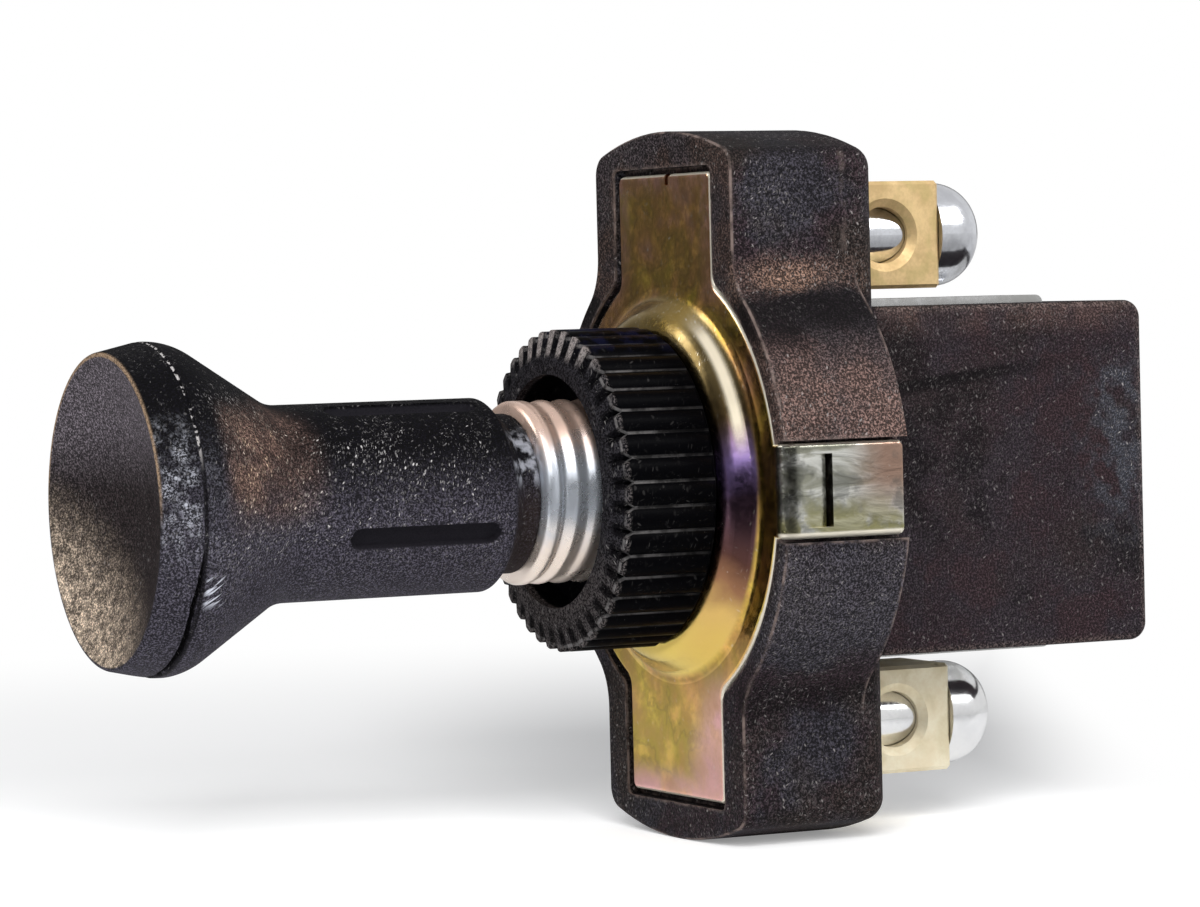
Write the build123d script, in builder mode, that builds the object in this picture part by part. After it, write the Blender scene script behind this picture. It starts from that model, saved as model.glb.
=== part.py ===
from build123d import *
import os

os.makedirs("parts", exist_ok=True)

# A panel push-pull switch, in millimetres. The knob is at -Y and the box at +Y,
# the long way of the flange is Z, and y = 0 is the face that seats on the panel.

# Threaded bush
bush_d = 12.0
bush_reach = 10.0
bush_chamfer = 0.65
bush_flange_d = 18.4
bush_flange_t = 1.85
thread_gap = 0.06

# Bezel nut
nut_d = 21.1
nut_length = 6.85
nut_lobes = 40
nut_lobe_r = 1.0
nut_bevel_w = 1.95
nut_bevel_h = 0.5
nut_groove_w = 0.95
nut_groove_depth = 0.8
nut_groove_run = 1.85
nut_heel_chamfer = 0.3
nut_counterbore_d = 15.3
nut_counterbore_depth = 2.4
nut_seat_gap = 0.1

# Mounting plate
sheet_t = 0.9
plate_d = 29.4
plate_h = 41.2
plate_sink = 0.15
tab_w = 13.1
tab_corner_r = 0.5
tab_waist_r = 1.0
sheet_edge_r = 0.35
boss_d = 25.2
boss_top_d = 22.0
boss_h = 1.9
boss_shoulder_r = 1.8
boss_root_r = 1.2
notch_x = 0.55
notch_w = 0.45
notch_depth = 0.75
strap_w = 6.1
strap_x = 15.75
strap_bend_r = 0.25
strap_corner_r = 0.5
strap_edge_r = 0.3
barb_length = 1.9
barb_depth = 0.45
barb_w = 4.7
slit_w = 0.28
slit_y = 5.25

# Moulded housing
ear_d = 46.8
ear_end_r = 29.0
ear_w = 19.3
ear_depth = 10.95
ear_corner_r = 1.5
bulge_d = 32.9
bulge_depth = 8.95
waist_r = 4.0
rim_edge_r = 0.25
ear_rear_edge_r = 1.6
recess_gap = 0.4
channel_gap = 0.2
strap_seat_gap = 0.05
barb_gap = 0.25
box_w = 16.0
box_h = 23.0
box_length = 21.3
box_corner_r = 1.2
box_edge_r = 0.5
side_wall = 2.0
roof = 2.2
rear_wall = 2.2

# Terminals
pillar_w = 6.4
pillar_h = 7.2
pillar_length = 7.95
pillar_gap = 0.65
pillar_edge = 0.25
spigot_d = 3.5
spigot_length = 6.0
wire_hole_d = 3.8
wire_hole_back = 4.2
wire_countersink_d = 4.9
wire_countersink_depth = 0.4
screw_d = 5.0
screw_gap = 0.05
screw_head_d = 7.0
screw_rim_h = 1.1
screw_dome_h = 2.9
screw_slot_w = 1.0
screw_slot_depth = 1.7
screw_tip_past = 1.6
screw_hole_past = 2.0
screw_tip_chamfer = 0.4

# Contact strips and rivets
strip_t = 0.5
strip_w = 6.0
strip_length = 16.55
strip_bend_r = 0.3
strip_foot = 1.0
fixed_gap = 0.05
rivet_d = 2.4
rivet_head_d = 4.4
rivet_head_t = 0.8

# Knob
knob_d = 21.15
knob_length = 27.95
knob_face_d = 19.95
knob_dish_d = 19.45
knob_dish_depth = 2.6
knob_rim_r = 0.2
knob_band_length = 2.7
knob_land_length = 1.4
knob_cone_length = 6.7
knob_seam_r = 1.0
knob_seam_w = 0.24
knob_seam_depth = 0.12
knob_cone_r = 4.0
knob_throat_r = 3.2
stem_d = 12.6
heel_length = 1.1
heel_r = 0.4
collar_d = 10.4
collar_length = 1.25
collar_edge_r = 0.2
knob_seat_gap = 0.05
groove_count = 4
groove_turn = -21.0
groove_w = 1.45
groove_depth = 0.6
groove_length = 10.4
groove_end_gap = 0.9

# Plunger
travel = 10.0
rod_d = 5.0
rod_gap = 0.05
rod_grip = 14.0
rod_neck_d = 2.8
rod_head_d = 4.6
rod_head_t = 1.5
stop_gap = 0.1
clip_d = 8.6
clip_t = 0.8
clip_groove_d = 4.0
clip_mouth = 3.6
detent_y = 4.0
detent_w = 0.9
detent_depth = 0.25
detent_ring_d = 7.2
detent_ring_gap = 0.03
detent_ring_mouth = 1.2
detent_room = 0.3

# Carriage and its contacts
carriage_length = 10.0
carriage_gap = 0.15
carriage_end_gap = 0.5
carriage_edge = 0.5
hook_lip = 1.6
hook_gap = 0.1
contact_back = 6.4
cap_d = 4.7
cap_gap = 0.05
cap_length = 4.0
cap_wall = 0.5
cap_top = 0.8
cap_edge_r = 0.3
spring_wire_d = 0.6
spring_d = 3.3
spring_turns = 8
spring_gap = 0.05

# Stations along the axis, worked out from the panel seat
sheet_front = boss_h
sheet_back = boss_h + sheet_t
rim_y = boss_h - plate_sink
bulge_rear = rim_y + bulge_depth
ear_rear = rim_y + ear_depth
box_rear = ear_rear + box_length
cavity_rear = box_rear - rear_wall
cavity_w = box_w - 2 * side_wall
cavity_h = box_h - 2 * roof
flange_rear = sheet_t + bush_flange_t
nut_heel = -nut_seat_gap
nut_face = nut_heel - nut_length
strap_inner = strap_x - sheet_t
channel_floor = strap_inner - strap_seat_gap
pillar_front = ear_rear + strip_t
pillar_rear = pillar_front + pillar_length
pillar_z = box_h / 2 + strip_t + pillar_gap + pillar_h / 2
wire_hole_y = pillar_rear - wire_hole_back
strip_end = ear_rear + strip_length
knob_rear = -bush_reach - knob_seat_gap
knob_face = knob_rear - knob_length
knob_seam = knob_face + knob_band_length
knob_shoulder = knob_seam + knob_land_length
knob_throat = knob_shoulder + knob_cone_length
stem_end = knob_rear - collar_length - heel_length
carriage_rear = cavity_rear - carriage_end_gap
carriage_front = carriage_rear - carriage_length
contact_y = carriage_front + contact_back
rivet_y = contact_y - travel
clip_y = flange_rear + travel + stop_gap
rod_front = knob_rear - rod_grip
rod_shoulder = carriage_front - stop_gap
rod_head_y = carriage_front + hook_lip + hook_gap
rod_end = rod_head_y + rod_head_t

# The plane square to the axis at a station. Its normal points to the knob,
# so a negative extrusion runs towards the box.
def station(y):
    return Plane.XZ.offset(-y)


# The sheet's outline, and the recess that it drops into when grown by the gap
def plate_outline(grow):
    with BuildSketch(mode=Mode.PRIVATE) as outline:
        Rectangle(tab_w + 2 * grow, plate_h + 2 * grow)
        fillet(outline.vertices(), tab_corner_r)
        Circle(plate_d / 2 + grow)
        fillet(outline.vertices().filter_by(lambda v: abs(v.Y) < plate_d / 2), tab_waist_r)
    return outline.sketch


# The ears' outline: a bar with arched ends
def ear_outline():
    with BuildSketch(mode=Mode.PRIVATE) as outline:
        Rectangle(ear_w, ear_d)
        for side in (1, -1):
            with Locations((0, side * (ear_d / 2 - ear_end_r))):
                Circle(ear_end_r, mode=Mode.INTERSECT)
        fillet(outline.vertices(), ear_corner_r)
    return outline.sketch


# Rear box, rounded by itself before it joins the flange
with BuildPart() as rear_box:
    with BuildSketch(station(bulge_rear)):
        Rectangle(box_w, box_h)
    extrude(amount=bulge_rear - box_rear)
    fillet(rear_box.faces().sort_by(Axis.Y)[-1].edges().filter_by(Axis.X), box_corner_r)
    box_sides = rear_box.faces().filter_by(Axis.X)
    fillet(box_sides.edges().filter_by(lambda e: e.center().Y > ear_rear), box_edge_r)

# Housing: flange with ears and bulge, box behind it, recess, strap channels and cavity
with BuildPart() as housing:
    with BuildSketch(station(rim_y)) as flange:
        add(ear_outline())
        Circle(bulge_d / 2)
        fillet(flange.vertices().filter_by(lambda v: abs(v.Y) < bulge_d / 2), waist_r)
    extrude(amount=rim_y - bulge_rear)
    with BuildSketch(station(bulge_rear)):
        add(ear_outline())
    extrude(amount=bulge_rear - ear_rear)
    fillet(housing.faces().sort_by(Axis.Y)[-1].edges(), ear_rear_edge_r)
    fillet(housing.faces().sort_by(Axis.Y)[0].edges(), rim_edge_r)
    add(rear_box.part)
    with BuildSketch(station(rim_y)):
        add(plate_outline(recess_gap))
    extrude(amount=rim_y - sheet_back, mode=Mode.SUBTRACT)
    with BuildSketch(station(rim_y)):
        with Locations((-bulge_d / 2, 0), (bulge_d / 2, 0)):
            Rectangle(bulge_d - 2 * channel_floor, strap_w + 2 * channel_gap)
    extrude(amount=rim_y - bulge_rear, mode=Mode.SUBTRACT)
    fold_corners = housing.edges().filter_by(Axis.Z).filter_by(
        lambda e: abs(abs(e.center().X) - channel_floor) + abs(e.center().Y - sheet_back) < strap_seat_gap)
    chamfer(fold_corners, strap_bend_r + strap_seat_gap)
    with BuildSketch(station(slit_y - slit_w / 2 - barb_length - barb_gap)):
        with Locations((-channel_floor, 0), (channel_floor, 0)):
            Rectangle(2 * (barb_depth + barb_gap), barb_w + 2 * barb_gap)
    extrude(amount=-(barb_length + slit_w + 2 * barb_gap), mode=Mode.SUBTRACT)
    with BuildSketch(station(sheet_back)):
        Rectangle(cavity_w, cavity_h)
    extrude(amount=sheet_back - cavity_rear, mode=Mode.SUBTRACT)
    with BuildSketch(station(ear_rear)):
        with Locations((0, pillar_z), (0, -pillar_z)):
            Circle(spigot_d / 2 + fixed_gap)
    extrude(amount=spigot_length - strip_t + fixed_gap, mode=Mode.SUBTRACT)
    for side in (1, -1):
        with BuildSketch(Plane.XY.offset(side * box_h / 2)):
            with Locations((0, strip_end - strip_t / 2)):
                Rectangle(strip_w + 2 * fixed_gap, strip_t + 2 * fixed_gap)
        extrude(amount=-side * (strip_foot + fixed_gap), mode=Mode.SUBTRACT)
        with BuildSketch(Plane.XY.offset(side * box_h / 2)):
            with Locations((0, rivet_y)):
                Circle(rivet_d / 2 + fixed_gap)
        extrude(amount=-side * roof, mode=Mode.SUBTRACT)
        with BuildSketch(Plane.XY.offset(side * cavity_h / 2)):
            with Locations((0, rivet_y)):
                Circle(rivet_head_d / 2 + fixed_gap)
        extrude(amount=side * rivet_head_t, mode=Mode.SUBTRACT)
housing.part.label = "housing"
export_step(housing.part, "parts/housing.step")

# Side strap: folded back from the sheet, with rounded corners and a rolled outer edge
with BuildPart() as strap:
    with BuildSketch(Plane.XY.offset(-strap_w / 2)):
        with BuildLine():
            FilletPolyline(
                (plate_d / 2 - 2 * sheet_edge_r, sheet_front),
                (strap_x, sheet_front),
                (strap_x, bulge_rear),
                radius=strap_bend_r + sheet_t,
            )
            Line((strap_x, bulge_rear), (strap_inner, bulge_rear))
            FilletPolyline(
                (strap_inner, bulge_rear),
                (strap_inner, sheet_back),
                (plate_d / 2 - 2 * sheet_edge_r, sheet_back),
                radius=strap_bend_r,
            )
            Line((plate_d / 2 - 2 * sheet_edge_r, sheet_back), (plate_d / 2 - 2 * sheet_edge_r, sheet_front))
        make_face()
    extrude(amount=strap_w)
    strap_end = strap.faces().sort_by(Axis.Y)[-1]
    fillet(strap_end.edges().filter_by(Axis.X), strap_corner_r)
    strap_outside = strap.faces().sort_by(Axis.X)[-1]
    fillet(strap_outside.edges().filter_by(Axis.Y), strap_edge_r)

# Drawn boss: a dome of sheet, turned between its front line and the same line one thickness back
boss_in = bush_d / 2 + fixed_gap
boss_out = plate_d / 2 - sheet_edge_r
with BuildLine() as boss_front:
    FilletPolyline(
        (boss_in, 0),
        (boss_top_d / 2, 0),
        (boss_d / 2, sheet_front),
        (boss_out, sheet_front),
        radius=[boss_shoulder_r, boss_root_r],
    )
with BuildPart() as boss:
    with BuildSketch(Plane.XY):
        with BuildLine():
            add(boss_front.line)
            Line((boss_out, sheet_front), (boss_out, sheet_back))
            add(boss_front.line.moved(Location((0, sheet_t, 0))))
            Line((boss_in, sheet_t), (boss_in, 0))
        make_face()
    revolve(axis=Axis.Y)

# Mounting plate: flat blank, drawn boss, two straps folded back with a lanced barb each
with BuildPart() as mounting_plate:
    with BuildSketch(station(sheet_front)):
        add(plate_outline(0))
    extrude(amount=-sheet_t)
    fillet(mounting_plate.faces().sort_by(Axis.Y)[0].edges(), sheet_edge_r)
    with Locations((notch_x, sheet_front, plate_h / 2)):
        Box(notch_w, 4 * sheet_t, 2 * notch_depth, mode=Mode.SUBTRACT)
    with BuildSketch(station(sheet_front)):
        Circle(boss_out)
    extrude(amount=-sheet_t, mode=Mode.SUBTRACT)
    add(boss.part)
    add(strap.part)
    mirror(strap.part, about=Plane.YZ)
    # The lanced tongue: pressed in on the outside, proud on the inside
    with BuildSketch(Plane.XY.offset(-barb_w / 2)):
        with BuildLine():
            Polyline(
                (strap_x, slit_y - slit_w / 2 - barb_length),
                (strap_x, slit_y - slit_w / 2),
                (strap_x - barb_depth, slit_y - slit_w / 2),
                close=True,
            )
        make_face()
        mirror(about=Plane.YZ)
    extrude(amount=barb_w, mode=Mode.SUBTRACT)
    with BuildSketch(Plane.XY.offset(-barb_w / 2)):
        with BuildLine():
            Polyline(
                (strap_inner, slit_y - slit_w / 2 - barb_length),
                (strap_inner, slit_y - slit_w / 2),
                (strap_inner - barb_depth, slit_y - slit_w / 2),
                close=True,
            )
        make_face()
        mirror(about=Plane.YZ)
    extrude(amount=barb_w)
    with Locations((strap_x, slit_y, 0), (-strap_x, slit_y, 0)):
        Box(4 * sheet_t, slit_w, barb_w, mode=Mode.SUBTRACT)
mounting_plate.part.label = "mounting_plate"
export_step(mounting_plate.part, "parts/mounting_plate.step")

# Threaded bush: a plain turned blank, bored for the rod, with a room for the detent ring
with BuildPart() as threaded_bush:
    with BuildSketch(Plane.XY):
        with BuildLine():
            Polyline(
                (rod_d / 2 + rod_gap, -bush_reach),
                (bush_d / 2 - bush_chamfer, -bush_reach),
                (bush_d / 2, bush_chamfer - bush_reach),
                (bush_d / 2, sheet_t),
                (bush_flange_d / 2, sheet_t),
                (bush_flange_d / 2, flange_rear),
                (rod_d / 2 + rod_gap, flange_rear),
                close=True,
            )
        make_face()
    revolve(axis=Axis.Y)
    with BuildSketch(station(-detent_y - detent_w / 2 - fixed_gap)):
        Circle(detent_ring_d / 2 + detent_room)
    extrude(amount=-(detent_w + 2 * fixed_gap), mode=Mode.SUBTRACT)
threaded_bush.part.label = "threaded_bush"
export_step(threaded_bush.part, "parts/threaded_bush.step")

# One groove of the nut's bevel: a V that runs in from the rim and fades out at the face.
# It is drawn in the nut's own axes, with the turning axis as Z.
groove_apex = -nut_face - nut_bevel_h - nut_groove_depth
groove_fall = nut_groove_depth + nut_bevel_h * nut_groove_run / nut_bevel_w
groove_slant = (nut_groove_run**2 + groove_fall**2) ** 0.5
with BuildPart() as nut_groove:
    with BuildSketch(Plane.YZ.offset(nut_d / 2)):
        with BuildLine():
            Polyline(
                (0, groove_apex),
                (nut_groove_w, groove_apex + 2 * nut_groove_depth),
                (-nut_groove_w, groove_apex + 2 * nut_groove_depth),
                close=True,
            )
        make_face()
    extrude(amount=groove_slant, dir=(-nut_groove_run, 0, groove_fall))

# Bezel nut: a ring of round lobes, trimmed by a turned form with a grooved bevel
with BuildPart(station(0)) as bezel_nut:
    with BuildSketch(station(nut_heel)):
        Circle(nut_d / 2 - nut_lobe_r)
        with PolarLocations(nut_d / 2 - nut_lobe_r, nut_lobes):
            Circle(nut_lobe_r)
    extrude(amount=nut_length)
    with BuildSketch(Plane.XY):
        with BuildLine():
            Polyline(
                (bush_d / 2 + thread_gap, nut_heel),
                (nut_d / 2 - nut_heel_chamfer, nut_heel),
                (nut_d / 2, nut_heel - nut_heel_chamfer),
                (nut_d / 2, nut_face + nut_bevel_h),
                (nut_d / 2 - nut_bevel_w, nut_face),
                (nut_counterbore_d / 2, nut_face),
                (nut_counterbore_d / 2, nut_face + nut_counterbore_depth),
                (bush_d / 2 + thread_gap, nut_face + nut_counterbore_depth),
                close=True,
            )
        make_face()
    revolve(axis=Axis.Y, mode=Mode.INTERSECT)
    with PolarLocations(0, nut_lobes, start_angle=180 / nut_lobes):
        add(nut_groove.part, mode=Mode.SUBTRACT)
bezel_nut.part.label = "bezel_nut"
export_step(bezel_nut.part, "parts/bezel_nut.step")

# Knob: trumpet with a dished face, a seam ring and long round-ended grooves in the stem
with BuildPart() as knob:
    with BuildSketch(Plane.XY):
        with BuildLine():
            RadiusArc(
                (0, knob_face + knob_dish_depth),
                (knob_dish_d / 2, knob_face),
                radius=(knob_dish_d**2 / 4 + knob_dish_depth**2) / (2 * knob_dish_depth),
            )
            FilletPolyline(
                (knob_dish_d / 2, knob_face),
                (knob_face_d / 2, knob_face),
                (knob_d / 2, knob_seam),
                (knob_d / 2, knob_shoulder),
                (stem_d / 2, knob_throat),
                (stem_d / 2, stem_end),
                (collar_d / 2, stem_end + heel_length),
                (collar_d / 2, knob_rear),
                (0, knob_rear),
                radius=[knob_rim_r, knob_seam_r, knob_cone_r, knob_throat_r, heel_r, heel_r, collar_edge_r],
            )
            Line((0, knob_rear), (0, knob_face + knob_dish_depth))
        make_face()
    revolve(axis=Axis.Y)
    with BuildSketch(Plane.XY):
        with Locations((knob_d / 2, knob_seam)):
            Rectangle(2 * knob_seam_depth, knob_seam_w)
    revolve(axis=Axis.Y, mode=Mode.SUBTRACT)
    for turn in range(groove_count):
        stem_side = Plane.YZ.rotated((0, -groove_turn - turn * 360 / groove_count, 0)).offset(stem_d / 2)
        with BuildSketch(stem_side):
            with Locations((stem_end - groove_end_gap - groove_length / 2, 0)):
                SlotOverall(groove_length, groove_w)
        extrude(amount=-groove_depth, mode=Mode.SUBTRACT)
    with BuildSketch(station(knob_rear)):
        Circle(rod_d / 2 + fixed_gap)
    extrude(amount=rod_grip + fixed_gap, mode=Mode.SUBTRACT)
knob.part.label = "knob"
export_step(knob.part, "parts/knob.step")

# Pull rod: detent grooves for both positions, a groove for the stop clip and a hooked end
with BuildPart() as pull_rod:
    with BuildSketch(Plane.XY):
        with BuildLine():
            Polyline(
                (0, rod_front),
                (rod_d / 2, rod_front),
                (rod_d / 2, rod_shoulder),
                (rod_neck_d / 2, rod_shoulder),
                (rod_neck_d / 2, rod_head_y),
                (rod_head_d / 2, rod_head_y),
                (rod_head_d / 2, rod_end),
                (0, rod_end),
                close=True,
            )
        make_face()
    revolve(axis=Axis.Y)
    with BuildSketch(Plane.XY):
        with Locations((rod_d / 2, -detent_y), (rod_d / 2, travel - detent_y)):
            Trapezoid(detent_w + 2 * detent_depth, 2 * detent_depth, 45, rotation=90)
    revolve(axis=Axis.Y, mode=Mode.SUBTRACT)
    with BuildSketch(Plane.XY):
        with Locations((rod_d / 2, clip_y + clip_t / 2)):
            Rectangle(rod_d - clip_groove_d, clip_t + 2 * fixed_gap)
    revolve(axis=Axis.Y, mode=Mode.SUBTRACT)
pull_rod.part.label = "pull_rod"
export_step(pull_rod.part, "parts/pull_rod.step")

# Stop clip: an open ring pushed on the rod's groove from the side
with BuildPart() as stop_clip:
    with BuildSketch(station(clip_y)):
        Circle(clip_d / 2)
        Circle(clip_groove_d / 2 + fixed_gap, mode=Mode.SUBTRACT)
        with Locations((clip_d / 2, 0)):
            Rectangle(clip_d, clip_mouth, mode=Mode.SUBTRACT)
    extrude(amount=-clip_t)
stop_clip.part.label = "stop_clip"
export_step(stop_clip.part, "parts/stop_clip.step")

# Detent ring: split spring ring in the bush's room, drawn at its size on the rod's plain length
with BuildPart() as detent_ring:
    with BuildSketch(station(-detent_y - detent_w / 2)):
        Circle(detent_ring_d / 2)
        Circle(rod_d / 2 + detent_ring_gap, mode=Mode.SUBTRACT)
        with Locations((detent_ring_d / 2, 0)):
            Rectangle(detent_ring_d, detent_ring_mouth, mode=Mode.SUBTRACT)
    extrude(amount=-detent_w)
detent_ring.part.label = "detent_ring"
export_step(detent_ring.part, "parts/detent_ring.step")

# Carriage: insulating block with a hook slot for the rod's head and a cross bore for the contacts
with BuildPart() as carriage:
    with BuildSketch(station(carriage_front)):
        Rectangle(cavity_w - 2 * carriage_gap, cavity_h - 2 * carriage_gap)
    extrude(amount=-carriage_length)
    chamfer(carriage.edges().filter_by(Axis.Y), carriage_edge)
    for slot_d, slot_front, slot_rear in (
        (rod_neck_d + 2 * hook_gap, carriage_front, carriage_front + hook_lip),
        (rod_head_d + 2 * hook_gap, carriage_front + hook_lip, rod_end + hook_gap),
    ):
        with BuildSketch(station(slot_front)):
            Circle(slot_d / 2)
            with Locations((cavity_w / 4, 0)):
                Rectangle(cavity_w / 2, slot_d)
        extrude(amount=slot_front - slot_rear, mode=Mode.SUBTRACT)
    with BuildSketch(Plane.XY.offset(-cavity_h / 2)):
        with Locations((0, contact_y)):
            Circle(cap_d / 2 + cap_gap)
    extrude(amount=cavity_h, mode=Mode.SUBTRACT)
carriage.part.label = "carriage"
export_step(carriage.part, "parts/carriage.step")

# Contact caps: two cups that slide in the cross bore and wipe the cavity's walls
cap_reach = cavity_h / 2 - cap_gap
for name, side in (("upper_contact_cap", 1), ("lower_contact_cap", -1)):
    with BuildPart() as contact_cap:
        with BuildSketch(Plane.XY.offset(side * cap_reach)):
            with Locations((0, contact_y)):
                Circle(cap_d / 2)
        extrude(amount=-side * cap_length)
        fillet(contact_cap.edges().group_by(Axis.Z)[-1 if side > 0 else 0], cap_edge_r)
        with BuildSketch(Plane.XY.offset(side * (cap_reach - cap_top))):
            with Locations((0, contact_y)):
                Circle(cap_d / 2 - cap_wall)
        extrude(amount=-side * (cap_length - cap_top), mode=Mode.SUBTRACT)
    contact_cap.part.label = name
    export_step(contact_cap.part, f"parts/{name}.step")

# Contact spring: a coil that presses the two caps apart
spring_half = cap_reach - cap_top - spring_gap - spring_wire_d / 2
with BuildPart() as contact_spring:
    with BuildLine() as coil:
        Helix(
            pitch=2 * spring_half / spring_turns,
            height=2 * spring_half,
            radius=(spring_d - spring_wire_d) / 2,
            center=(0, contact_y, -spring_half),
        )
    with BuildSketch(Plane(origin=coil.line @ 0, z_dir=coil.line % 0)):
        Circle(spring_wire_d / 2)
    sweep(is_frenet=True)
contact_spring.part.label = "contact_spring"
export_step(contact_spring.part, "parts/contact_spring.step")

# Contact rivets: through the box's roof and floor, flush inside and flush on the strip
for name, side in (("upper_contact_rivet", 1), ("lower_contact_rivet", -1)):
    with BuildPart() as contact_rivet:
        with BuildSketch(Plane.XY.offset(side * cavity_h / 2)):
            with Locations((0, rivet_y)):
                Circle(rivet_head_d / 2)
        extrude(amount=side * rivet_head_t)
        with BuildSketch(Plane.XY.offset(side * cavity_h / 2)):
            with Locations((0, rivet_y)):
                Circle(rivet_d / 2)
        extrude(amount=side * (roof + strip_t))
    contact_rivet.part.label = name
    export_step(contact_rivet.part, f"parts/{name}.step")

# Contact strips: a tab under the pillar, a run along the box and a foot bent into its wall
strip_outer = box_h / 2 + strip_t
pillar_outer = pillar_z + pillar_h / 2
for name, side in (("upper_contact_strip", 1), ("lower_contact_strip", -1)):
    with BuildPart() as contact_strip:
        with BuildSketch(Plane.YZ.offset(-strip_w / 2)):
            with BuildLine():
                FilletPolyline(
                    (ear_rear, side * pillar_outer),
                    (ear_rear, side * box_h / 2),
                    (strip_end - strip_t, side * box_h / 2),
                    (strip_end - strip_t, side * (box_h / 2 - strip_foot)),
                    radius=[strip_bend_r + strip_t, fixed_gap],
                )
                Line(
                    (strip_end - strip_t, side * (box_h / 2 - strip_foot)),
                    (strip_end, side * (box_h / 2 - strip_foot)),
                )
                FilletPolyline(
                    (strip_end, side * (box_h / 2 - strip_foot)),
                    (strip_end, side * strip_outer),
                    (pillar_front, side * strip_outer),
                    (pillar_front, side * pillar_outer),
                    radius=[fixed_gap + strip_t, strip_bend_r],
                )
                Line((pillar_front, side * pillar_outer), (ear_rear, side * pillar_outer))
            make_face()
        extrude(amount=strip_w)
        with BuildSketch(station(ear_rear)):
            with Locations((0, side * pillar_z)):
                Circle(spigot_d / 2 + fixed_gap)
        extrude(amount=-strip_t, mode=Mode.SUBTRACT)
        with BuildSketch(Plane.XY.offset(side * box_h / 2)):
            with Locations((0, rivet_y)):
                Circle(rivet_d / 2 + fixed_gap)
        extrude(amount=side * strip_t, mode=Mode.SUBTRACT)
    contact_strip.part.label = name
    export_step(contact_strip.part, f"parts/{name}.step")

# Terminal pillars: brass blocks with a spigot in the ear, a countersunk wire hole and a screw hole
for name, side in (("upper_terminal_pillar", 1), ("lower_terminal_pillar", -1)):
    with BuildPart() as pillar:
        with BuildSketch(station(pillar_front)):
            with Locations((0, side * pillar_z)):
                Rectangle(pillar_w, pillar_h)
        extrude(amount=-pillar_length)
        chamfer(pillar.edges(), pillar_edge)
        with BuildSketch(station(pillar_front)):
            with Locations((0, side * pillar_z)):
                Circle(spigot_d / 2)
        extrude(amount=spigot_length)
        with BuildSketch(Plane.YZ.offset(-pillar_w / 2)):
            with Locations((wire_hole_y, side * pillar_z)):
                Circle(wire_hole_d / 2)
        extrude(amount=pillar_w, mode=Mode.SUBTRACT)
        with BuildSketch(station(pillar_rear)):
            with Locations((0, side * pillar_z)):
                Circle(screw_d / 2 + screw_gap)
        extrude(amount=wire_hole_back + screw_hole_past, mode=Mode.SUBTRACT)
        rims = pillar.edges().filter_by(GeomType.CIRCLE).filter_by(
            lambda e: abs(abs(e.center().X) - pillar_w / 2) < screw_gap)
        chamfer(rims, wire_countersink_depth, (wire_countersink_d - wire_hole_d) / 2)
    pillar.part.label = name
    export_step(pillar.part, f"parts/{name}.step")

# Terminal screws: plain shank, domed head with a driver slot
screw_seat = pillar_rear + screw_gap
screw_tip = wire_hole_y - screw_tip_past
for name, side in (("upper_terminal_screw", 1), ("lower_terminal_screw", -1)):
    with BuildPart() as screw:
        with BuildSketch(station(screw_seat)):
            with Locations((0, side * pillar_z)):
                Circle(screw_head_d / 2)
        extrude(amount=-(screw_rim_h + screw_dome_h))
        fillet(screw.edges().group_by(Axis.Y)[-1], screw_dome_h)
        with BuildSketch(station(screw_seat)):
            with Locations((0, side * pillar_z)):
                Circle(screw_d / 2)
        extrude(amount=screw_seat - screw_tip)
        chamfer(screw.edges().group_by(Axis.Y)[0], screw_tip_chamfer)
        with BuildSketch(station(screw_seat + screw_rim_h + screw_dome_h)):
            with Locations((0, side * pillar_z)):
                Rectangle(screw_slot_w, screw_head_d)
        extrude(amount=screw_slot_depth, mode=Mode.SUBTRACT)
    screw.part.label = name
    export_step(screw.part, f"parts/{name}.step")
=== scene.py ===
import math

import bmesh
import bpy
from mathutils import Matrix, Vector, noise


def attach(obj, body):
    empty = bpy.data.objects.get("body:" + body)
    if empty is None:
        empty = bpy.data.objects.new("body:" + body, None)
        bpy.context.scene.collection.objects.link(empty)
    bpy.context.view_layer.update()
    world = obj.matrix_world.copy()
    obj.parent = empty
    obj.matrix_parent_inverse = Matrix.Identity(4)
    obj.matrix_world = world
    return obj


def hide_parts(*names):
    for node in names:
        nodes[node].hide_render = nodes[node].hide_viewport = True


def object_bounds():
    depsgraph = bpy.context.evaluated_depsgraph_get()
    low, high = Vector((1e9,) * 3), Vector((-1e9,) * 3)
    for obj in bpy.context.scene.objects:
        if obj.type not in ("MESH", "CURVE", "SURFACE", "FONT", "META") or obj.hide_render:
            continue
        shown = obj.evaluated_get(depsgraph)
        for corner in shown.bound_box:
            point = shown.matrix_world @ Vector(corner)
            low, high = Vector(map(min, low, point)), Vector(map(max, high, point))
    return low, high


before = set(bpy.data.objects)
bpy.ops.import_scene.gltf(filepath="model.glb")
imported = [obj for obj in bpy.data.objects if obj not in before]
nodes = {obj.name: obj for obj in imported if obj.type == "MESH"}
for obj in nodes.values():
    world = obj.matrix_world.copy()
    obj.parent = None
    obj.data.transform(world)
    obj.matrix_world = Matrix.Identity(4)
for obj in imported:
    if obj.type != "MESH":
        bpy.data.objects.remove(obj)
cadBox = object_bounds()
mm = 0.001
fullTurn = 2 * math.pi
scene = bpy.context.scene
scene.view_settings.view_transform = "Standard"
print("frame loaded:", len(nodes), "nodes")


# camera, from the photograph's own perspective; its place in mm, clipping in m
photoView = {
    "place": (280.3, -143.84, 13.36),
    "azimuth": 63.356,
    "elevation": 2.013,
    "roll": -1.445,
    "lens": 143.37,
    "sensor": 36.0,
    "clip": (0.01, 20),
}


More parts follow.
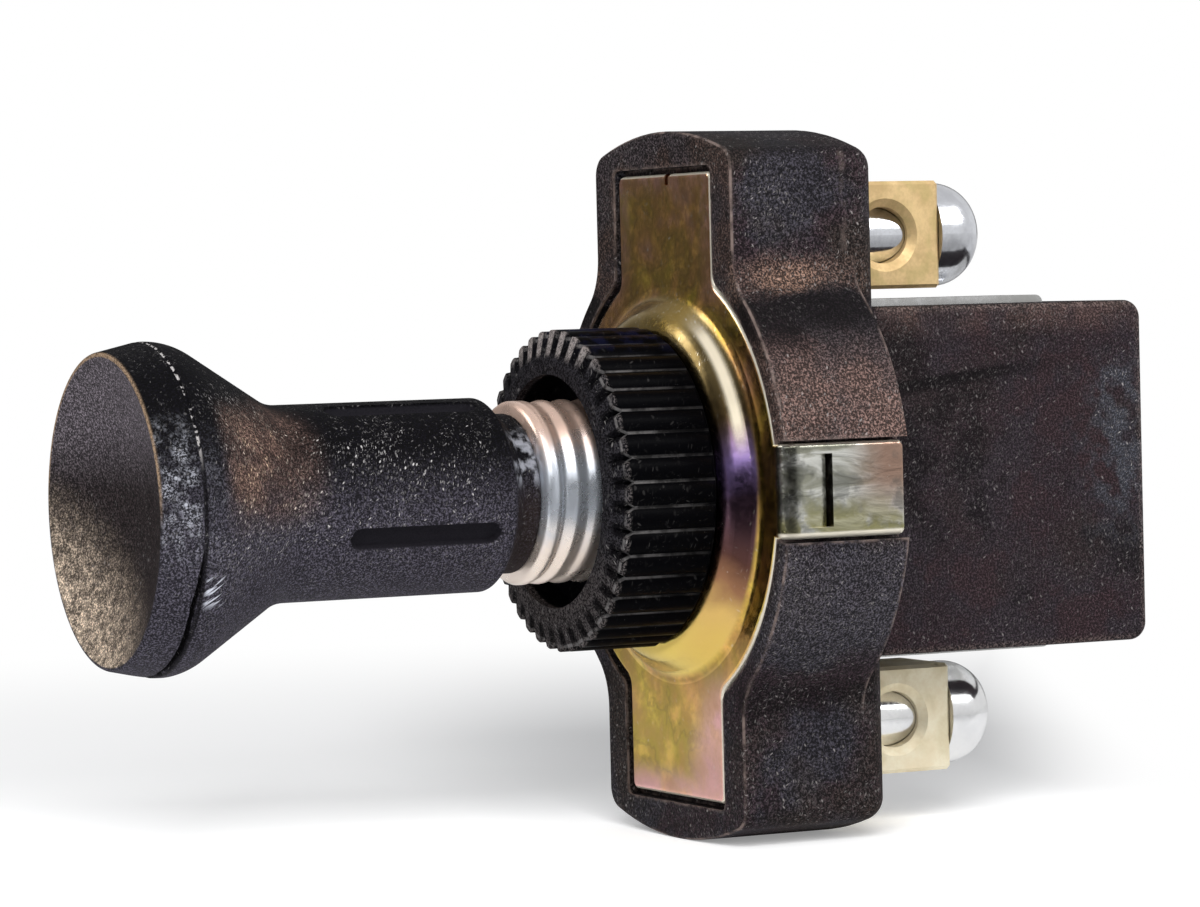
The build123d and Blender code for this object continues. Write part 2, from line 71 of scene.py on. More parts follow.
def setCamera():
    data = bpy.data.cameras.new("photoCamera")
    data.lens = photoView["lens"]
    data.sensor_width = photoView["sensor"]
    data.sensor_fit = "HORIZONTAL"
    data.clip_start, data.clip_end = photoView["clip"]
    camera = bpy.data.objects.new("photoCamera", data)
    scene.collection.objects.link(camera)
    camera.matrix_world = (
        Matrix.Translation(Vector(photoView["place"]) * mm)
        @ Matrix.Rotation(math.radians(photoView["azimuth"]), 4, "Z")
        @ Matrix.Rotation(math.radians(90 - photoView["elevation"]), 4, "X")
        @ Matrix.Rotation(math.radians(photoView["roll"]), 4, "Z")
    )
    scene.camera = camera


setCamera()
print("camera set")


# node helpers: a value that is a socket gets linked, anything else is typed in
def give(tree, socket, value):
    if isinstance(value, bpy.types.NodeSocket):
        tree.links.new(value, socket)
    else:
        socket.default_value = value


def put(tree, kind, inputs=None, **settings):
    node = tree.nodes.new("ShaderNode" + kind)
    for name, value in settings.items():
        setattr(node, name, value)
    for name, value in (inputs or {}).items():
        give(tree, node.inputs[name], value)
    return node


def calc(tree, operation, *values, clamp=False):
    inputs = dict(enumerate(values))
    return put(tree, "Math", inputs, operation=operation, use_clamp=clamp).outputs[0]


def remap(tree, value, low, high, toLow=0.0, toHigh=1.0, soft=True):
    inputs = {"Value": value, "From Min": low, "From Max": high, "To Min": toLow, "To Max": toHigh}
    kind = "SMOOTHSTEP" if soft else "LINEAR"
    return put(tree, "MapRange", inputs, interpolation_type=kind).outputs[0]


def between(tree, mask, low, high, soft=True):
    return remap(tree, mask, 0.0, 1.0, low, high, soft)


def chain(tree, operation, values):
    total = values[0]
    for value in values[1:]:
        total = calc(tree, operation, total, value)
    return total


def times(tree, *values):
    return chain(tree, "MULTIPLY", values)


def most(tree, *values):
    return chain(tree, "MAXIMUM", values)


# rises from a to b and falls from c to d
def band(tree, value, a, b, c, d):
    return times(tree, remap(tree, value, a, b), remap(tree, value, d, c))


def rest(tree, mask):
    return calc(tree, "SUBTRACT", 1.0, mask, clamp=True)


# a field pushed to and fro by a noise
def swayed(tree, field, sway, amount):
    return calc(tree, "MULTIPLY_ADD", calc(tree, "SUBTRACT", sway, 0.5), amount, field)


def tint(tree, factor, first, second, how="MIX"):
    return put(tree, "Mix", {0: factor, 6: first, 7: second}, data_type="RGBA", blend_type=how).outputs[2]


def ramp(tree, factor, stops):
    node = put(tree, "ValToRGB", {0: factor})
    bar = node.color_ramp
    while len(bar.elements) < len(stops):
        bar.elements.new(0.5)
    for element, (at, colour) in zip(bar.elements, stops):
        element.position = at
        element.color = (*colour, 1)
    return node.outputs[0]


def rgb(red, green, blueSheen):
    return (red, green, blueSheen, 1)


# the part's own coordinates in mm
def partPlace(tree):
    place = put(tree, "TexCoord").outputs["Object"]
    return put(tree, "VectorMath", {0: place, 3: 1 / mm}, operation="SCALE").outputs[0]


def stretched(tree, place, amounts):
    return put(tree, "VectorMath", {0: place, 1: amounts}, operation="MULTIPLY").outputs[0]


def spun(tree, place, axis, angle):
    return put(tree, "VectorRotate", {"Vector": place, "Axis": axis, "Angle": angle}).outputs[0]


def split(tree, vector):
    return put(tree, "SeparateXYZ", {0: vector}).outputs


def dot(tree, first, second):
    return put(tree, "VectorMath", {0: first, 1: second}, operation="DOT_PRODUCT").outputs["Value"]


# noise in the part's own place, or in another if a Vector is given
def cloudy(tree, **inputs):
    if "Vector" not in inputs:
        inputs["Vector"] = partPlace(tree)
    return put(tree, "TexNoise", inputs).outputs[0]


# cells: the distance from each one's middle, and two random values that each keeps
def cells(tree, scale, place):
    found = put(tree, "TexVoronoi", {"Vector": place, "Scale": scale}).outputs
    first, second, _ = put(tree, "SeparateColor", {0: found["Color"]}).outputs
    return found["Distance"], first, second


def newGroup(name, inputs, outputs):
    group = bpy.data.node_groups.new(name, "ShaderNodeTree")
    for socket, value in inputs.items():
        made = group.interface.new_socket(socket, in_out="INPUT", socket_type="NodeSocketFloat")
        made.default_value = value
    for socket, kind in outputs.items():
        group.interface.new_socket(socket, in_out="OUTPUT", socket_type="NodeSocket" + kind)
    entry = group.nodes.new("NodeGroupInput")
    leave = group.nodes.new("NodeGroupOutput")
    return group, entry.outputs, leave.inputs


def useGroup(tree, group, **inputs):
    node = tree.nodes.new("ShaderNodeGroup")
    node.node_tree = group
    for name, value in inputs.items():
        give(tree, node.inputs[name], value)
    return node.outputs


# moulded grain: fine tone, soft patches and a height for bump
grainLook = {"tone": (0.38, 0.66), "patches": (0.35, 0.68), "pitScale": 0.55, "pitDepth": 0.6, "gain": 3.0}


def makeGrain():
    group, given, result = newGroup(
        "mouldedGrain",
        {"Fine": 7.0, "Patch": 0.25, "Shift": 0.0},
        {"Tone": "Float", "Patches": "Float", "Height": "Float"},
    )
    moved = put(group, "VectorMath", {0: partPlace(group), 1: given["Shift"]}, operation="ADD").outputs[0]
    fine = cloudy(group, Scale=given["Fine"], Detail=2.0, Roughness=0.75, Vector=moved)
    coarse = cloudy(group, Scale=given["Patch"], Detail=4.0, Roughness=0.6, Vector=moved)
    pits, _, _ = cells(group, times(group, given["Fine"], grainLook["pitScale"]), moved)
    give(group, result["Tone"], remap(group, fine, *grainLook["tone"]))
    give(group, result["Patches"], remap(group, coarse, *grainLook["patches"]))
    give(group, result["Height"], calc(group, "MULTIPLY_ADD", pits, grainLook["pitDepth"], fine))
    return group


# dust: fibres and a few round specks, most of them dim, thicker in some patches than in others
dustLook = {
    "cloud": (0.35, 0.65, 0.15, 1.0),
    "axis": (0.4, 0.7, 0.6),
    "shapes": (  # stretch, turn and weight
        ((1, 1, 1), 0.0, 0.45),
        ((1, 0.2, 0.2), 0.7, 0.7),
        ((0.2, 1, 0.2), 1.9, 0.7),
        ((0.2, 0.2, 1), 2.6, 0.7),
    ),
    "dimming": 5.0,
    "glow": (0.88, 0.12),
    "edge": 2.0,
}


def makeDust():
    group, given, result = newGroup(
        "dustFlecks", {"Scale": 9.0, "Amount": 0.1, "Size": 0.34, "Patch": 0.3}, {"Mask": "Float"}
    )
    place = partPlace(group)
    cloud = remap(group, cloudy(group, Scale=given["Patch"], Detail=3.0), *dustLook["cloud"])
    share = times(group, given["Amount"], cloud)
    specks = []
    for amounts, turn, weight in dustLook["shapes"]:
        drawn = stretched(group, spun(group, place, dustLook["axis"], turn), amounts)
        distance, lucky, bright = cells(group, given["Scale"], drawn)
        chosen = calc(group, "LESS_THAN", lucky, times(group, share, weight))
        inside = rest(group, calc(group, "DIVIDE", distance, given["Size"]))
        full = calc(group, "MULTIPLY", inside, dustLook["edge"], clamp=True)
        dimmed = calc(group, "POWER", bright, dustLook["dimming"])
        glow = calc(group, "MULTIPLY_ADD", dimmed, *dustLook["glow"])
        specks.append(times(group, chosen, glow, full))
    give(group, result["Mask"], most(group, *specks))
    return group


# rubbed edges: where a rounded normal leaves the flat one
rubLook = {"samples": 6, "broken": (0.35, 0.7)}


def makeEdgeRub():
    group, given, result = newGroup("edgeRub", {"Radius": 0.4, "Break": 1.2, "Gain": 3.0}, {"Mask": "Float"})
    radius = times(group, given["Radius"], mm)
    soft = put(group, "Bevel", {"Radius": radius}, samples=rubLook["samples"]).outputs[0]
    match = dot(group, soft, put(group, "NewGeometry").outputs["Normal"])
    turn = calc(group, "MULTIPLY", rest(group, match), given["Gain"], clamp=True)
    broken = remap(group, cloudy(group, Scale=given["Break"], Detail=5.0), *rubLook["broken"])
    give(group, result["Mask"], times(group, turn, broken))
    return group


# the colours of a chromate film, drifting over the surface
filmStops = [
    (0.22, (0.72, 0.39, 0.28)),
    (0.36, (0.74, 0.41, 0.13)),
    (0.46, (0.73, 0.45, 0.105)),
    (0.56, (0.66, 0.48, 0.075)),
    (0.68, (0.73, 0.45, 0.115)),
    (0.84, (0.74, 0.41, 0.29)),
]


def makeFilm():
    group, given, result = newGroup(
        "chromateFilm", {"Scale": 0.16, "Drift": 0.0}, {"Color": "Color", "Cloud": "Float"}
    )
    cloud = cloudy(group, Scale=given["Scale"], Detail=4.0, Distortion=0.4)
    level = calc(group, "ADD", cloud, given["Drift"])
    give(group, result["Color"], ramp(group, level, filmStops))
    give(group, result["Cloud"], cloud)
    return group


mouldedGrain = makeGrain()
dustFlecks = makeDust()
edgeRub = makeEdgeRub()
chromateFilm = makeFilm()
print("shared effects built")


def newFinish(name):
    finish = bpy.data.materials.new(name)
    finish.use_nodes = True
    tree = finish.node_tree
    return finish, tree, tree.nodes["Principled BSDF"]


# what a zone can be told by: place in mm, distance from the axis, facing, grain and noises
def fields(tree, look):
    x, y, z = split(tree, partPlace(tree))
    radius = calc(tree, "SQRT", calc(tree, "ADD", times(tree, x, x), times(tree, z, z)))
    _, faceY, faceZ = split(tree, put(tree, "NewGeometry").outputs["Normal"])
    tone, patches, height = useGroup(tree, mouldedGrain, **look["grain"])
    at = {"x": x, "y": y, "z": z, "radius": radius, "faceY": faceY, "faceZ": faceZ}
    at.update(tone=tone, patches=patches, height=height)
    for name, field in {"side": x, "tall": z, "turnY": faceY, "turnZ": faceZ}.items():
        at[name] = calc(tree, "ABSOLUTE", field)
    at["up"] = calc(tree, "DIVIDE", z, most(tree, radius, 1.0))
    for name, kind in look.get("noises", {}).items():
        at[name] = cloudy(tree, **kind)
    return at


# a mask from limits on fields: two numbers rise from 0 to 1, four make a band, two pairs go from
# the first range to the second, and None takes a field or an earlier zone as it is; "either" takes
# the most of its zones, and "outside" what they leave
def zone(tree, at, limits):
    masks = []
    for name, ends in limits.items():
        if name == "share":
            masks.append(ends)
        elif name == "either":
            choices = [at[each] if isinstance(each, str) else zone(tree, at, each) for each in ends]
            masks.append(most(tree, *choices))
        elif name == "outside":
            masks.extend(rest(tree, at[each]) for each in ends)
        elif ends is None:
            masks.append(at[name])
        elif isinstance(ends[0], tuple):
            masks.append(remap(tree, at[name], *ends[0], *ends[1]))
        elif len(ends) == 4:
            masks.append(band(tree, at[name], *ends))
        else:
            masks.append(remap(tree, at[name], *ends))
    return times(tree, *masks)


def markZones(tree, at, zones):
    for name, limits in zones.items():
        at[name] = zone(tree, at, limits)


# one colour over another, each in its zone
def layered(tree, base, at, look, layers):
    for name, colour in layers.items():
        base = tint(tree, at[name], base, look[colour])
    return base


# a zone's colour, broken up by the grain; the pits fall to the share given as low
def grained(tree, tone, colour, low):
    gain = times(tree, calc(tree, "SUBTRACT", 1.0, low), grainLook["gain"])
    share = calc(tree, "MULTIPLY_ADD", times(tree, tone, tone), gain, low)
    return tint(tree, 1.0, colour, share, how="MULTIPLY")


# the look gives roughness at both ends, bump's strength and depth in mm, and specular or metal if any
def feed(tree, shader, look, colour, dullness, height, metal=None):
    strength, depth = look["bump"]
    normal = put(tree, "Bump", {"Height": height, "Strength": strength, "Distance": depth * mm}).outputs[0]
    give(tree, shader.inputs["Base Color"], colour)
    give(tree, shader.inputs["Roughness"], between(tree, dullness, *look["roughness"]))
    give(tree, shader.inputs["Normal"], normal)
    give(tree, shader.inputs["Specular IOR Level"], look.get("specular", 0.5))
    give(tree, shader.inputs["Metallic"], look.get("metal", 0.0) if metal is None else metal)


# knob: black moulding with painted shade on top, a painted brown sheen on the flare, frosted by the seam, a
# painted rim highlight, and painted shade and light in the dish
knobLook = {
    "grain": {"Fine": 7.5, "Patch": 0.34, "Shift": 3.0},
    "flecks": {"Scale": 13.0, "Size": 0.36, "Patch": 0.26},
    # painted shade inside the seam's crease and crack
    "crackShade": rgb(0.004, 0.0035, 0.0045),
    "grey": rgb(0.052, 0.048, 0.063),
    # painted shade inside the stem's grooves
    "groove": rgb(0.013, 0.012, 0.016),
    # painted shade: the knob's upper side is darker
    "top": rgb(0.003, 0.0028, 0.0042),
    # the dish: paler grey at the top, painted shade in the middle, painted light low on the left
    "bowl": rgb(0.115, 0.100, 0.115),
    "bowlShade": rgb(0.027, 0.021, 0.022),
    "bowlLit": rgb(0.62, 0.50, 0.385),
    # painted warm sheen on the knob's flare
    "brownSheenAndRub": rgb(0.108, 0.068, 0.057),
    "collar": rgb(0.020, 0.013, 0.011),
    "frost": rgb(0.60, 0.62, 0.70),
    "tan": rgb(0.75, 0.55, 0.38),
    "rim": rgb(0.36, 0.25, 0.165),
    "dust": rgb(0.60, 0.58, 0.58),
    "seamWhite": rgb(0.50, 0.48, 0.48),
    "roughness": (0.62, 0.85),
    "specular": 0.06,
    "bump": (0.7, 0.06),
    "noises": {
        "clumps": {"Scale": 1.5, "Detail": 3.0, "Roughness": 0.7},
        "blobs": {"Scale": 0.9, "Detail": 3.0, "Roughness": 0.6},
        "dots": {"Scale": 2.6, "Detail": 2.0},
    },
    "beadScale": 2.6,
    "strokes": {"Scale": 1.1, "Detail": 2.0},
    "strokeTurn": -0.6,
    "strokeStretch": (0.6, 0.5, 5.0),
    "slopeLean": 0.6,
    "pits": (0.30, 0.52),
    "dustAmount": (0.6, 1.2),
    "dustLeast": 0.25,
    "seamPlace": -35.3,
    "zones": {
        # painted shade on the knob's upper side
        "high": {"up": (-0.35, 0.6)},
        "dish": {"y": (-35.1, -35.3), "radius": (9.80, 9.70)},
        # painted shade over the dish's middle and lower part, painted light low on the left
        "dishShaded": {"z": (6, 0.5)},
        "dishLit": {"slope": (-2.5, -12), "clumps": ((0.38, 0.62), (0.35, 1))},
        # painted warm sheen on the flare
        "brownSheen": {
            "z": (-2, 2, 4.6, 7.4),
            "y": (-34.2, -32.4, -28.6, -24.5),
            "side": (1, 4),
            "patches": ((0, 0.7), (0.45, 1)),
        },
        # cloudy frost on the band in front of the seam
        "frosted": {
            "z": (-4, 0, 4, 6.6),
            "x": (4, 8),
            "radius": (9.4, 10),
            "y": (-38.2, -37.7, -35.9, -35.4),
            "blobs": (0.36, 0.68),
        },
        "veil": {
            "z": (-6, -1, 4, 6),
            "y": (-38.2, -37.7, -34.4, -32.8),
            "x": (4, 8),
            "blobs": (0.3, 0.7),
            "share": 0.14,
        },
        "speck": {
            "either": ({"bead": (0.44, 0.2), "beadBright": None}, {"tone": ((0.3, 0.85), (0.02, 0.5))})
        },
        "frosting": {"either": ("frosted", "veil"), "speck": None},
        # painted highlight along the dish rim's upper side
        "rimHighlight": {
            "radius": (9.66, 9.74, 9.90, 10.02),
            "y": (-37.7, -37.9),
            "z": (-1, 2.5),
            "tone": ((0, 0.6), (0.35, 1)),
        },
        # worn seam: a crease that opens into a crack, both painted dark as shade, white dots on top,
        # scratches beside it
        "crease": {"line": (0.2, 0.08), "radius": (10, 10.2), "z": (6, 1), "share": 0.8},
        "seam": {"line": (0.12, 0.05), "radius": (10, 10.2), "z": (2.5, 5), "dots": (0.48, 0.56)},
        "crack": {"y": (-36, -35.8, -34.9, -34.7), "radius": (9, 9.6, 10.30, 10.44), "z": (0, -2)},
        "scratch": {
            "y": (-35.2, -34.9, -34, -33.4),
            "z": (-6, -5.2, -4.2, -3.6),
            "strokes": (0.54, 0.64),
            "x": (3, 6),
        },
        "neck": {"y": (-12.4, -11.9), "radius": (4, 4.6)},
        "neckLow": {"neck": None, "z": (1.5, -1), "share": 0.8},
        "smear": {"neck": None, "z": (0.2, 1.6, 3.2, 4.6), "blobs": (0.42, 0.6), "share": 0.5},
        # painted shade inside the stem's grooves
        "slot": {"y": (-24.2, -23.6, -13.2, -12.9), "radius": (6.22, 6.05)},
        "dusty": {"y": (-36, -31, -16, -12), "up": (-0.75, -0.1, 0.6, 0.95)},
    },
    "layers": {
        "frosting": "frost",
        "rimHighlight": "rim",
        "crease": "crackShade",
        "seam": "seamWhite",
        "crack": "crackShade",
        "scratch": "frost",
        "neckLow": "collar",
        "smear": "frost",
        "slot": "groove",
    },
}


def knobFinish():
    look = knobLook
    finish, tree, shader = newFinish("knobMoulding")
    at = fields(tree, look)
    place = partPlace(tree)
    drawn = stretched(tree, spun(tree, place, (1, 0, 0), look["strokeTurn"]), look["strokeStretch"])
    at["slope"] = calc(tree, "MULTIPLY_ADD", at["x"], look["slopeLean"], at["z"])
    at["line"] = calc(tree, "ABSOLUTE", calc(tree, "SUBTRACT", at["y"], look["seamPlace"]))
    at["strokes"] = cloudy(tree, Vector=drawn, **look["strokes"])
    at["bead"], at["beadBright"], _ = cells(tree, look["beadScale"], place)
    markZones(tree, at, look["zones"])
    # the dish's colour: painted shade in the middle, painted light low on the left
    hollowShading = tint(tree, at["dishShaded"], look["bowl"], look["bowlShade"])
    hollowShading = tint(tree, at["dishLit"], hollowShading, look["bowlLit"])
    # painted shade on the upper side
    peak = tint(tree, at["high"], look["grey"], look["top"])
    peak = tint(tree, at["dish"], peak, hollowShading)
    peak = tint(tree, at["brownSheen"], peak, look["brownSheenAndRub"])
    pits = between(tree, times(tree, at["dish"], at["dishLit"]), *look["pits"], soft=False)
    base = layered(tree, grained(tree, at["tone"], peak, pits), at, look, look["layers"])
    # more dust, tinted tan, where the painted sheen lies
    share = between(tree, at["brownSheen"], *look["dustAmount"], soft=False)
    dust = useGroup(tree, dustFlecks, Amount=share, **look["flecks"])["Mask"]
    dust = times(tree, dust, between(tree, at["dusty"], look["dustLeast"], 1.0), rest(tree, at["slot"]))
    base = tint(tree, dust, base, tint(tree, at["brownSheen"], look["dust"], look["tan"]))
    feed(tree, shader, look, base, at["tone"], at["height"])
    return finish


# housing: the same kind of moulding, the waist rubbed brown with a painted warm sheen and painted shade
# beside it, rubbed edges, the box blotched
housingLook = {
    "grain": {"Fine": 7.0, "Patch": 0.16, "Shift": 11.0},
    "flecks": {"Scale": 11.5, "Amount": 0.8, "Size": 0.35, "Patch": 0.2},
    "edges": {"Radius": 0.4, "Break": 1.1, "Gain": 7.0},
    "cool": rgb(0.028, 0.026, 0.033),
    "plum": rgb(0.027, 0.018, 0.022),
    "umber": rgb(0.027, 0.020, 0.018),
    # painted warm sheen on the bulge, and a brown rub under the box's top edge
    "brownSheenAndRub": rgb(0.125, 0.080, 0.070),
    # rubbed brown with a painted warm sheen, on the shelf at the waist
    "waistSheenAndRub": rgb(0.17, 0.105, 0.078),
    "rim": rgb(0.055, 0.036, 0.031),
    # painted light on the bulge's lower side
    "litPale": rgb(0.050, 0.046, 0.056),
    "rust": rgb(0.036, 0.021, 0.024),
    "scuff": rgb(0.046, 0.047, 0.058),
    "shade": rgb(0.006, 0.0045, 0.0055),
    "dust": rgb(0.60, 0.56, 0.55),
    "rubbed": rgb(0.25, 0.19, 0.17),
    "roughness": (0.62, 0.85),
    "specular": 0.09,
    "bump": (0.7, 0.06),
    "noises": {
        "hues": {"Scale": 0.11, "Detail": 3.0},
        "worn": {"Scale": 0.8, "Detail": 4.0},
        "blots": {"Scale": 0.2, "Detail": 5.0, "Roughness": 0.62},
        "waves": {"Scale": 0.55, "Detail": 2.0},
    },
    "waveRelief": 2.5,
    "drift": 1.2,
    "sinkLine": (0.115, 4.5),
    "zones": {
        "plumPatch": {"patches": (0.2, 0.8)},
        "umberPatch": {"hues": (0.48, 0.62)},
        "rear": {"y": ((12.5, 13.5), (0, 0.6))},
        # painted warm sheen on the bulge's upper side, and painted light on its lower side
        "bulge": {
            "radius": (14.8, 16.2),
            "y": (12.4, 11),
            "z": (-1, 3.5, 6.5, 12),
            "patches": ((0, 0.6), (0.55, 1)),
        },
        "litBelly": {"radius": (14.8, 16.2), "y": (12.4, 11), "z": (-12.5, -9, -4.5, -3), "share": 0.8},
        "brow": {"faceY": (-0.6, -0.9), "z": (-2, 6), "patches": ((0, 0.8), (0.3, 0.9))},
        # shelf at the upper ear's waist, rubbed and painted with a warm sheen, with painted shade in the
        # corner under it and along the lower ear's waist
        "flank": {"side": (8.9, 9.5), "y": (12.6, 11.4)},
        "shadeUnderShelf": {"flank": None, "drifting": (8.8, 10.8, 11.8, 13.3), "share": 0.9},
        "lower": {"flank": None, "drifting": (-15.2, -13.8, -13, -11.8), "share": 0.6},
        "shelfRear": {"flank": None, "drifting": (12.1, 13.3, 13.9, 15.8), "y": ((11, 5.5), (0.15, 1))},
        "shelf": {"shelfRear": None, "y": ((2, 5), (0.3, 1)), "tone": ((0, 0.9), (0.65, 1))},
        # painted shade on faces turned up
        "upwardShade": {"faceZ": (0.3, 0.9), "share": 0.65},
        # the box's sides: blots, a brown rub under the top edge, a sink line painted dark as shade, and
        # scuffs at the rear
        "box": {"y": (13, 14), "side": (7.6, 7.9)},
        "blot": {"box": None, "blots": (0.50, 0.62), "share": 0.7},
        "rusty": {"box": None, "blots": (0.47, 0.37), "share": 0.7},
        "boxTop": {"box": None, "z": (9, 11.3), "patches": ((0.1, 0.8), (0.15, 0.6))},
        "sink": {"box": None, "y": (30, 20), "line": (-1.1, -0.15, 0.1, 0.55), "share": 0.95},
        "scuffed": {"box": None, "y": (27.5, 32), "z": (-6.5, -1, 6, 9), "worn": (0.38, 0.62)},
        "pits": {"box": ((0, 1), (0.26, 0.45))},
        # rubbed edges: the sharp ones, the flange's front rim and the box's long edges
        "lip": {"y": (1.74, 1.79, 1.86, 1.98), "turnY": (0.97, 0.8), "worn": ((0.4, 0.62), (0.15, 1))},
        "ridge": {
            "side": (7.5, 7.9),
            "either": ({"tall": (10.9, 11.4)}, {"y": (33.2, 33.9)}),
            "y": (13, 14),
            "tone": (0.2, 0.9),
            "share": 0.6,
        },
        "crease": {
            "flank": None,
            "y": (9.7, 10, 10.1, 10.5),
            "z": (13.8, 15),
            "worn": ((0.45, 0.65), (0, 0.3)),
        },
        "rubbing": {"either": ("sharp", "crease", "lip", "ridge"), "share": 0.8},
        "dusty": {
            "dust": None,
            "y": ((12.5, 13.5), (0.42, 0.27)),
            "shadeUnderShelf": ((0, 0.9), (1, 0.3)),
            "scuffed": ((0, 1), (1, 2.4)),
        },
    },
    "layers": {
        "plumPatch": "plum",
        "umberPatch": "umber",
        "rear": "plum",
        "bulge": "brownSheenAndRub",
        "litBelly": "litPale",
        "brow": "rim",
        "shadeUnderShelf": "shade",
        "lower": "shade",
        "shelf": "waistSheenAndRub",
        "upwardShade": "shade",
        "blot": "shade",
        "rusty": "rust",
        "boxTop": "brownSheenAndRub",
        "sink": "shade",
        "scuffed": "scuff",
    },
    "topLayers": {"rubbing": "rubbed", "dusty": "dust"},
}


def housingFinish():
    look = housingLook
    finish, tree, shader = newFinish("housingMoulding")
    at = fields(tree, look)
    rise, start = look["sinkLine"]
    at["line"] = calc(tree, "SUBTRACT", at["z"], calc(tree, "MULTIPLY_ADD", at["y"], rise, start))
    at["drifting"] = swayed(tree, at["z"], at["patches"], look["drift"])
    at["sharp"] = useGroup(tree, edgeRub, **look["edges"])["Mask"]
    at["dust"] = useGroup(tree, dustFlecks, **look["flecks"])["Mask"]
    markZones(tree, at, look["zones"])
    peak = layered(tree, look["cool"], at, look, look["layers"])
    base = layered(tree, grained(tree, at["tone"], peak, at["pits"]), at, look, look["topLayers"])
    wavy = calc(tree, "MULTIPLY_ADD", at["waves"], look["waveRelief"], at["height"])
    feed(tree, shader, look, base, at["tone"], wavy)
    return finish


# nut: deep black and glossy on the lobes, dust in the grooves and on the face
nutLook = {
    "grain": {"Fine": 7.0, "Patch": 0.5, "Shift": 23.0},
    "flecks": {"Scale": 8.0, "Amount": 0.4, "Size": 0.36, "Patch": 0.5},
    "black": rgb(0.0016, 0.0016, 0.0022),
    "face": rgb(0.038, 0.036, 0.042),
    "faceLowReflection": rgb(0.085, 0.075, 0.076),
    "groove": rgb(0.26, 0.25, 0.25),
    "worn": rgb(0.36, 0.32, 0.31),
    "blueSheen": rgb(0.005, 0.006, 0.022),
    "dust": rgb(0.55, 0.53, 0.52),
    "roughness": (0.34, 0.75),
    "specular": 0.018,
    "bump": (0.3, 0.03),
    "teeth": 40,
    "zones": {
        "front": {"y": (-6.25, -6.5)},
        # painted blue sheen along the nut's top
        "sheen": {"z": (8.6, 10), "patches": ((0.3, 0.8), (0, 0.8))},
        # painted reflection: the lower part of the front face is paler
        "low": {"z": (-2, -7)},
        "grey": {"front": None, "tone": ((0, 1), (0.12, 1))},
        "valley": {"radius": (10, 10.1, 10.23, 10.31), "y": (-6.9, -6.6)},
        "dirt": {"valley": None, "patches": ((0, 0.8), (0.1, 0.6)), "y": ((-0.5, -6), (0.2, 1))},
        # the teeth at the top of the bevel are worn light, and the gaps between them get painted shade
        "tooth": {"wave": (-0.2, 0.5)},
        "gapShade": {"front": None, "tooth": (1, 0), "radius": (8.7, 9.2), "share": 0.8},
        "ends": {"y": (-6.62, -6.46, -6.34, -6.2), "radius": (9.9, 10.2), "tone": (0.3, 0.8), "share": 0.22},
        "crown": {
            "front": None,
            "z": (7.8, 9.2),
            "tooth": None,
            "radius": (8.7, 9.2),
            "tone": ((0, 0.8), (0.3, 1)),
        },
        "wear": {"either": ("ends", "crown")},
        "dusty": {"dust": None, "front": ((0, 1), (0.06, 0.4))},
    },
    "layers": {"dirt": "groove", "gapShade": "black", "wear": "worn", "dusty": "dust"},
}


def nutFinish():
    look = nutLook
    finish, tree, shader = newFinish("nutMoulding")
    at = fields(tree, look)
    around = times(tree, calc(tree, "ARCTAN2", at["z"], at["x"]), look["teeth"])
    at["wave"] = calc(tree, "COSINE", around)
    at["dust"] = useGroup(tree, dustFlecks, **look["flecks"])["Mask"]
    markZones(tree, at, look["zones"])
    base = tint(tree, at["sheen"], look["black"], look["blueSheen"])
    base = tint(tree, at["grey"], base, tint(tree, at["low"], look["face"], look["faceLowReflection"]))
    base = layered(tree, base, at, look, look["layers"])
    feed(tree, shader, look, base, most(tree, at["front"], at["dirt"]), at["height"])
    return finish
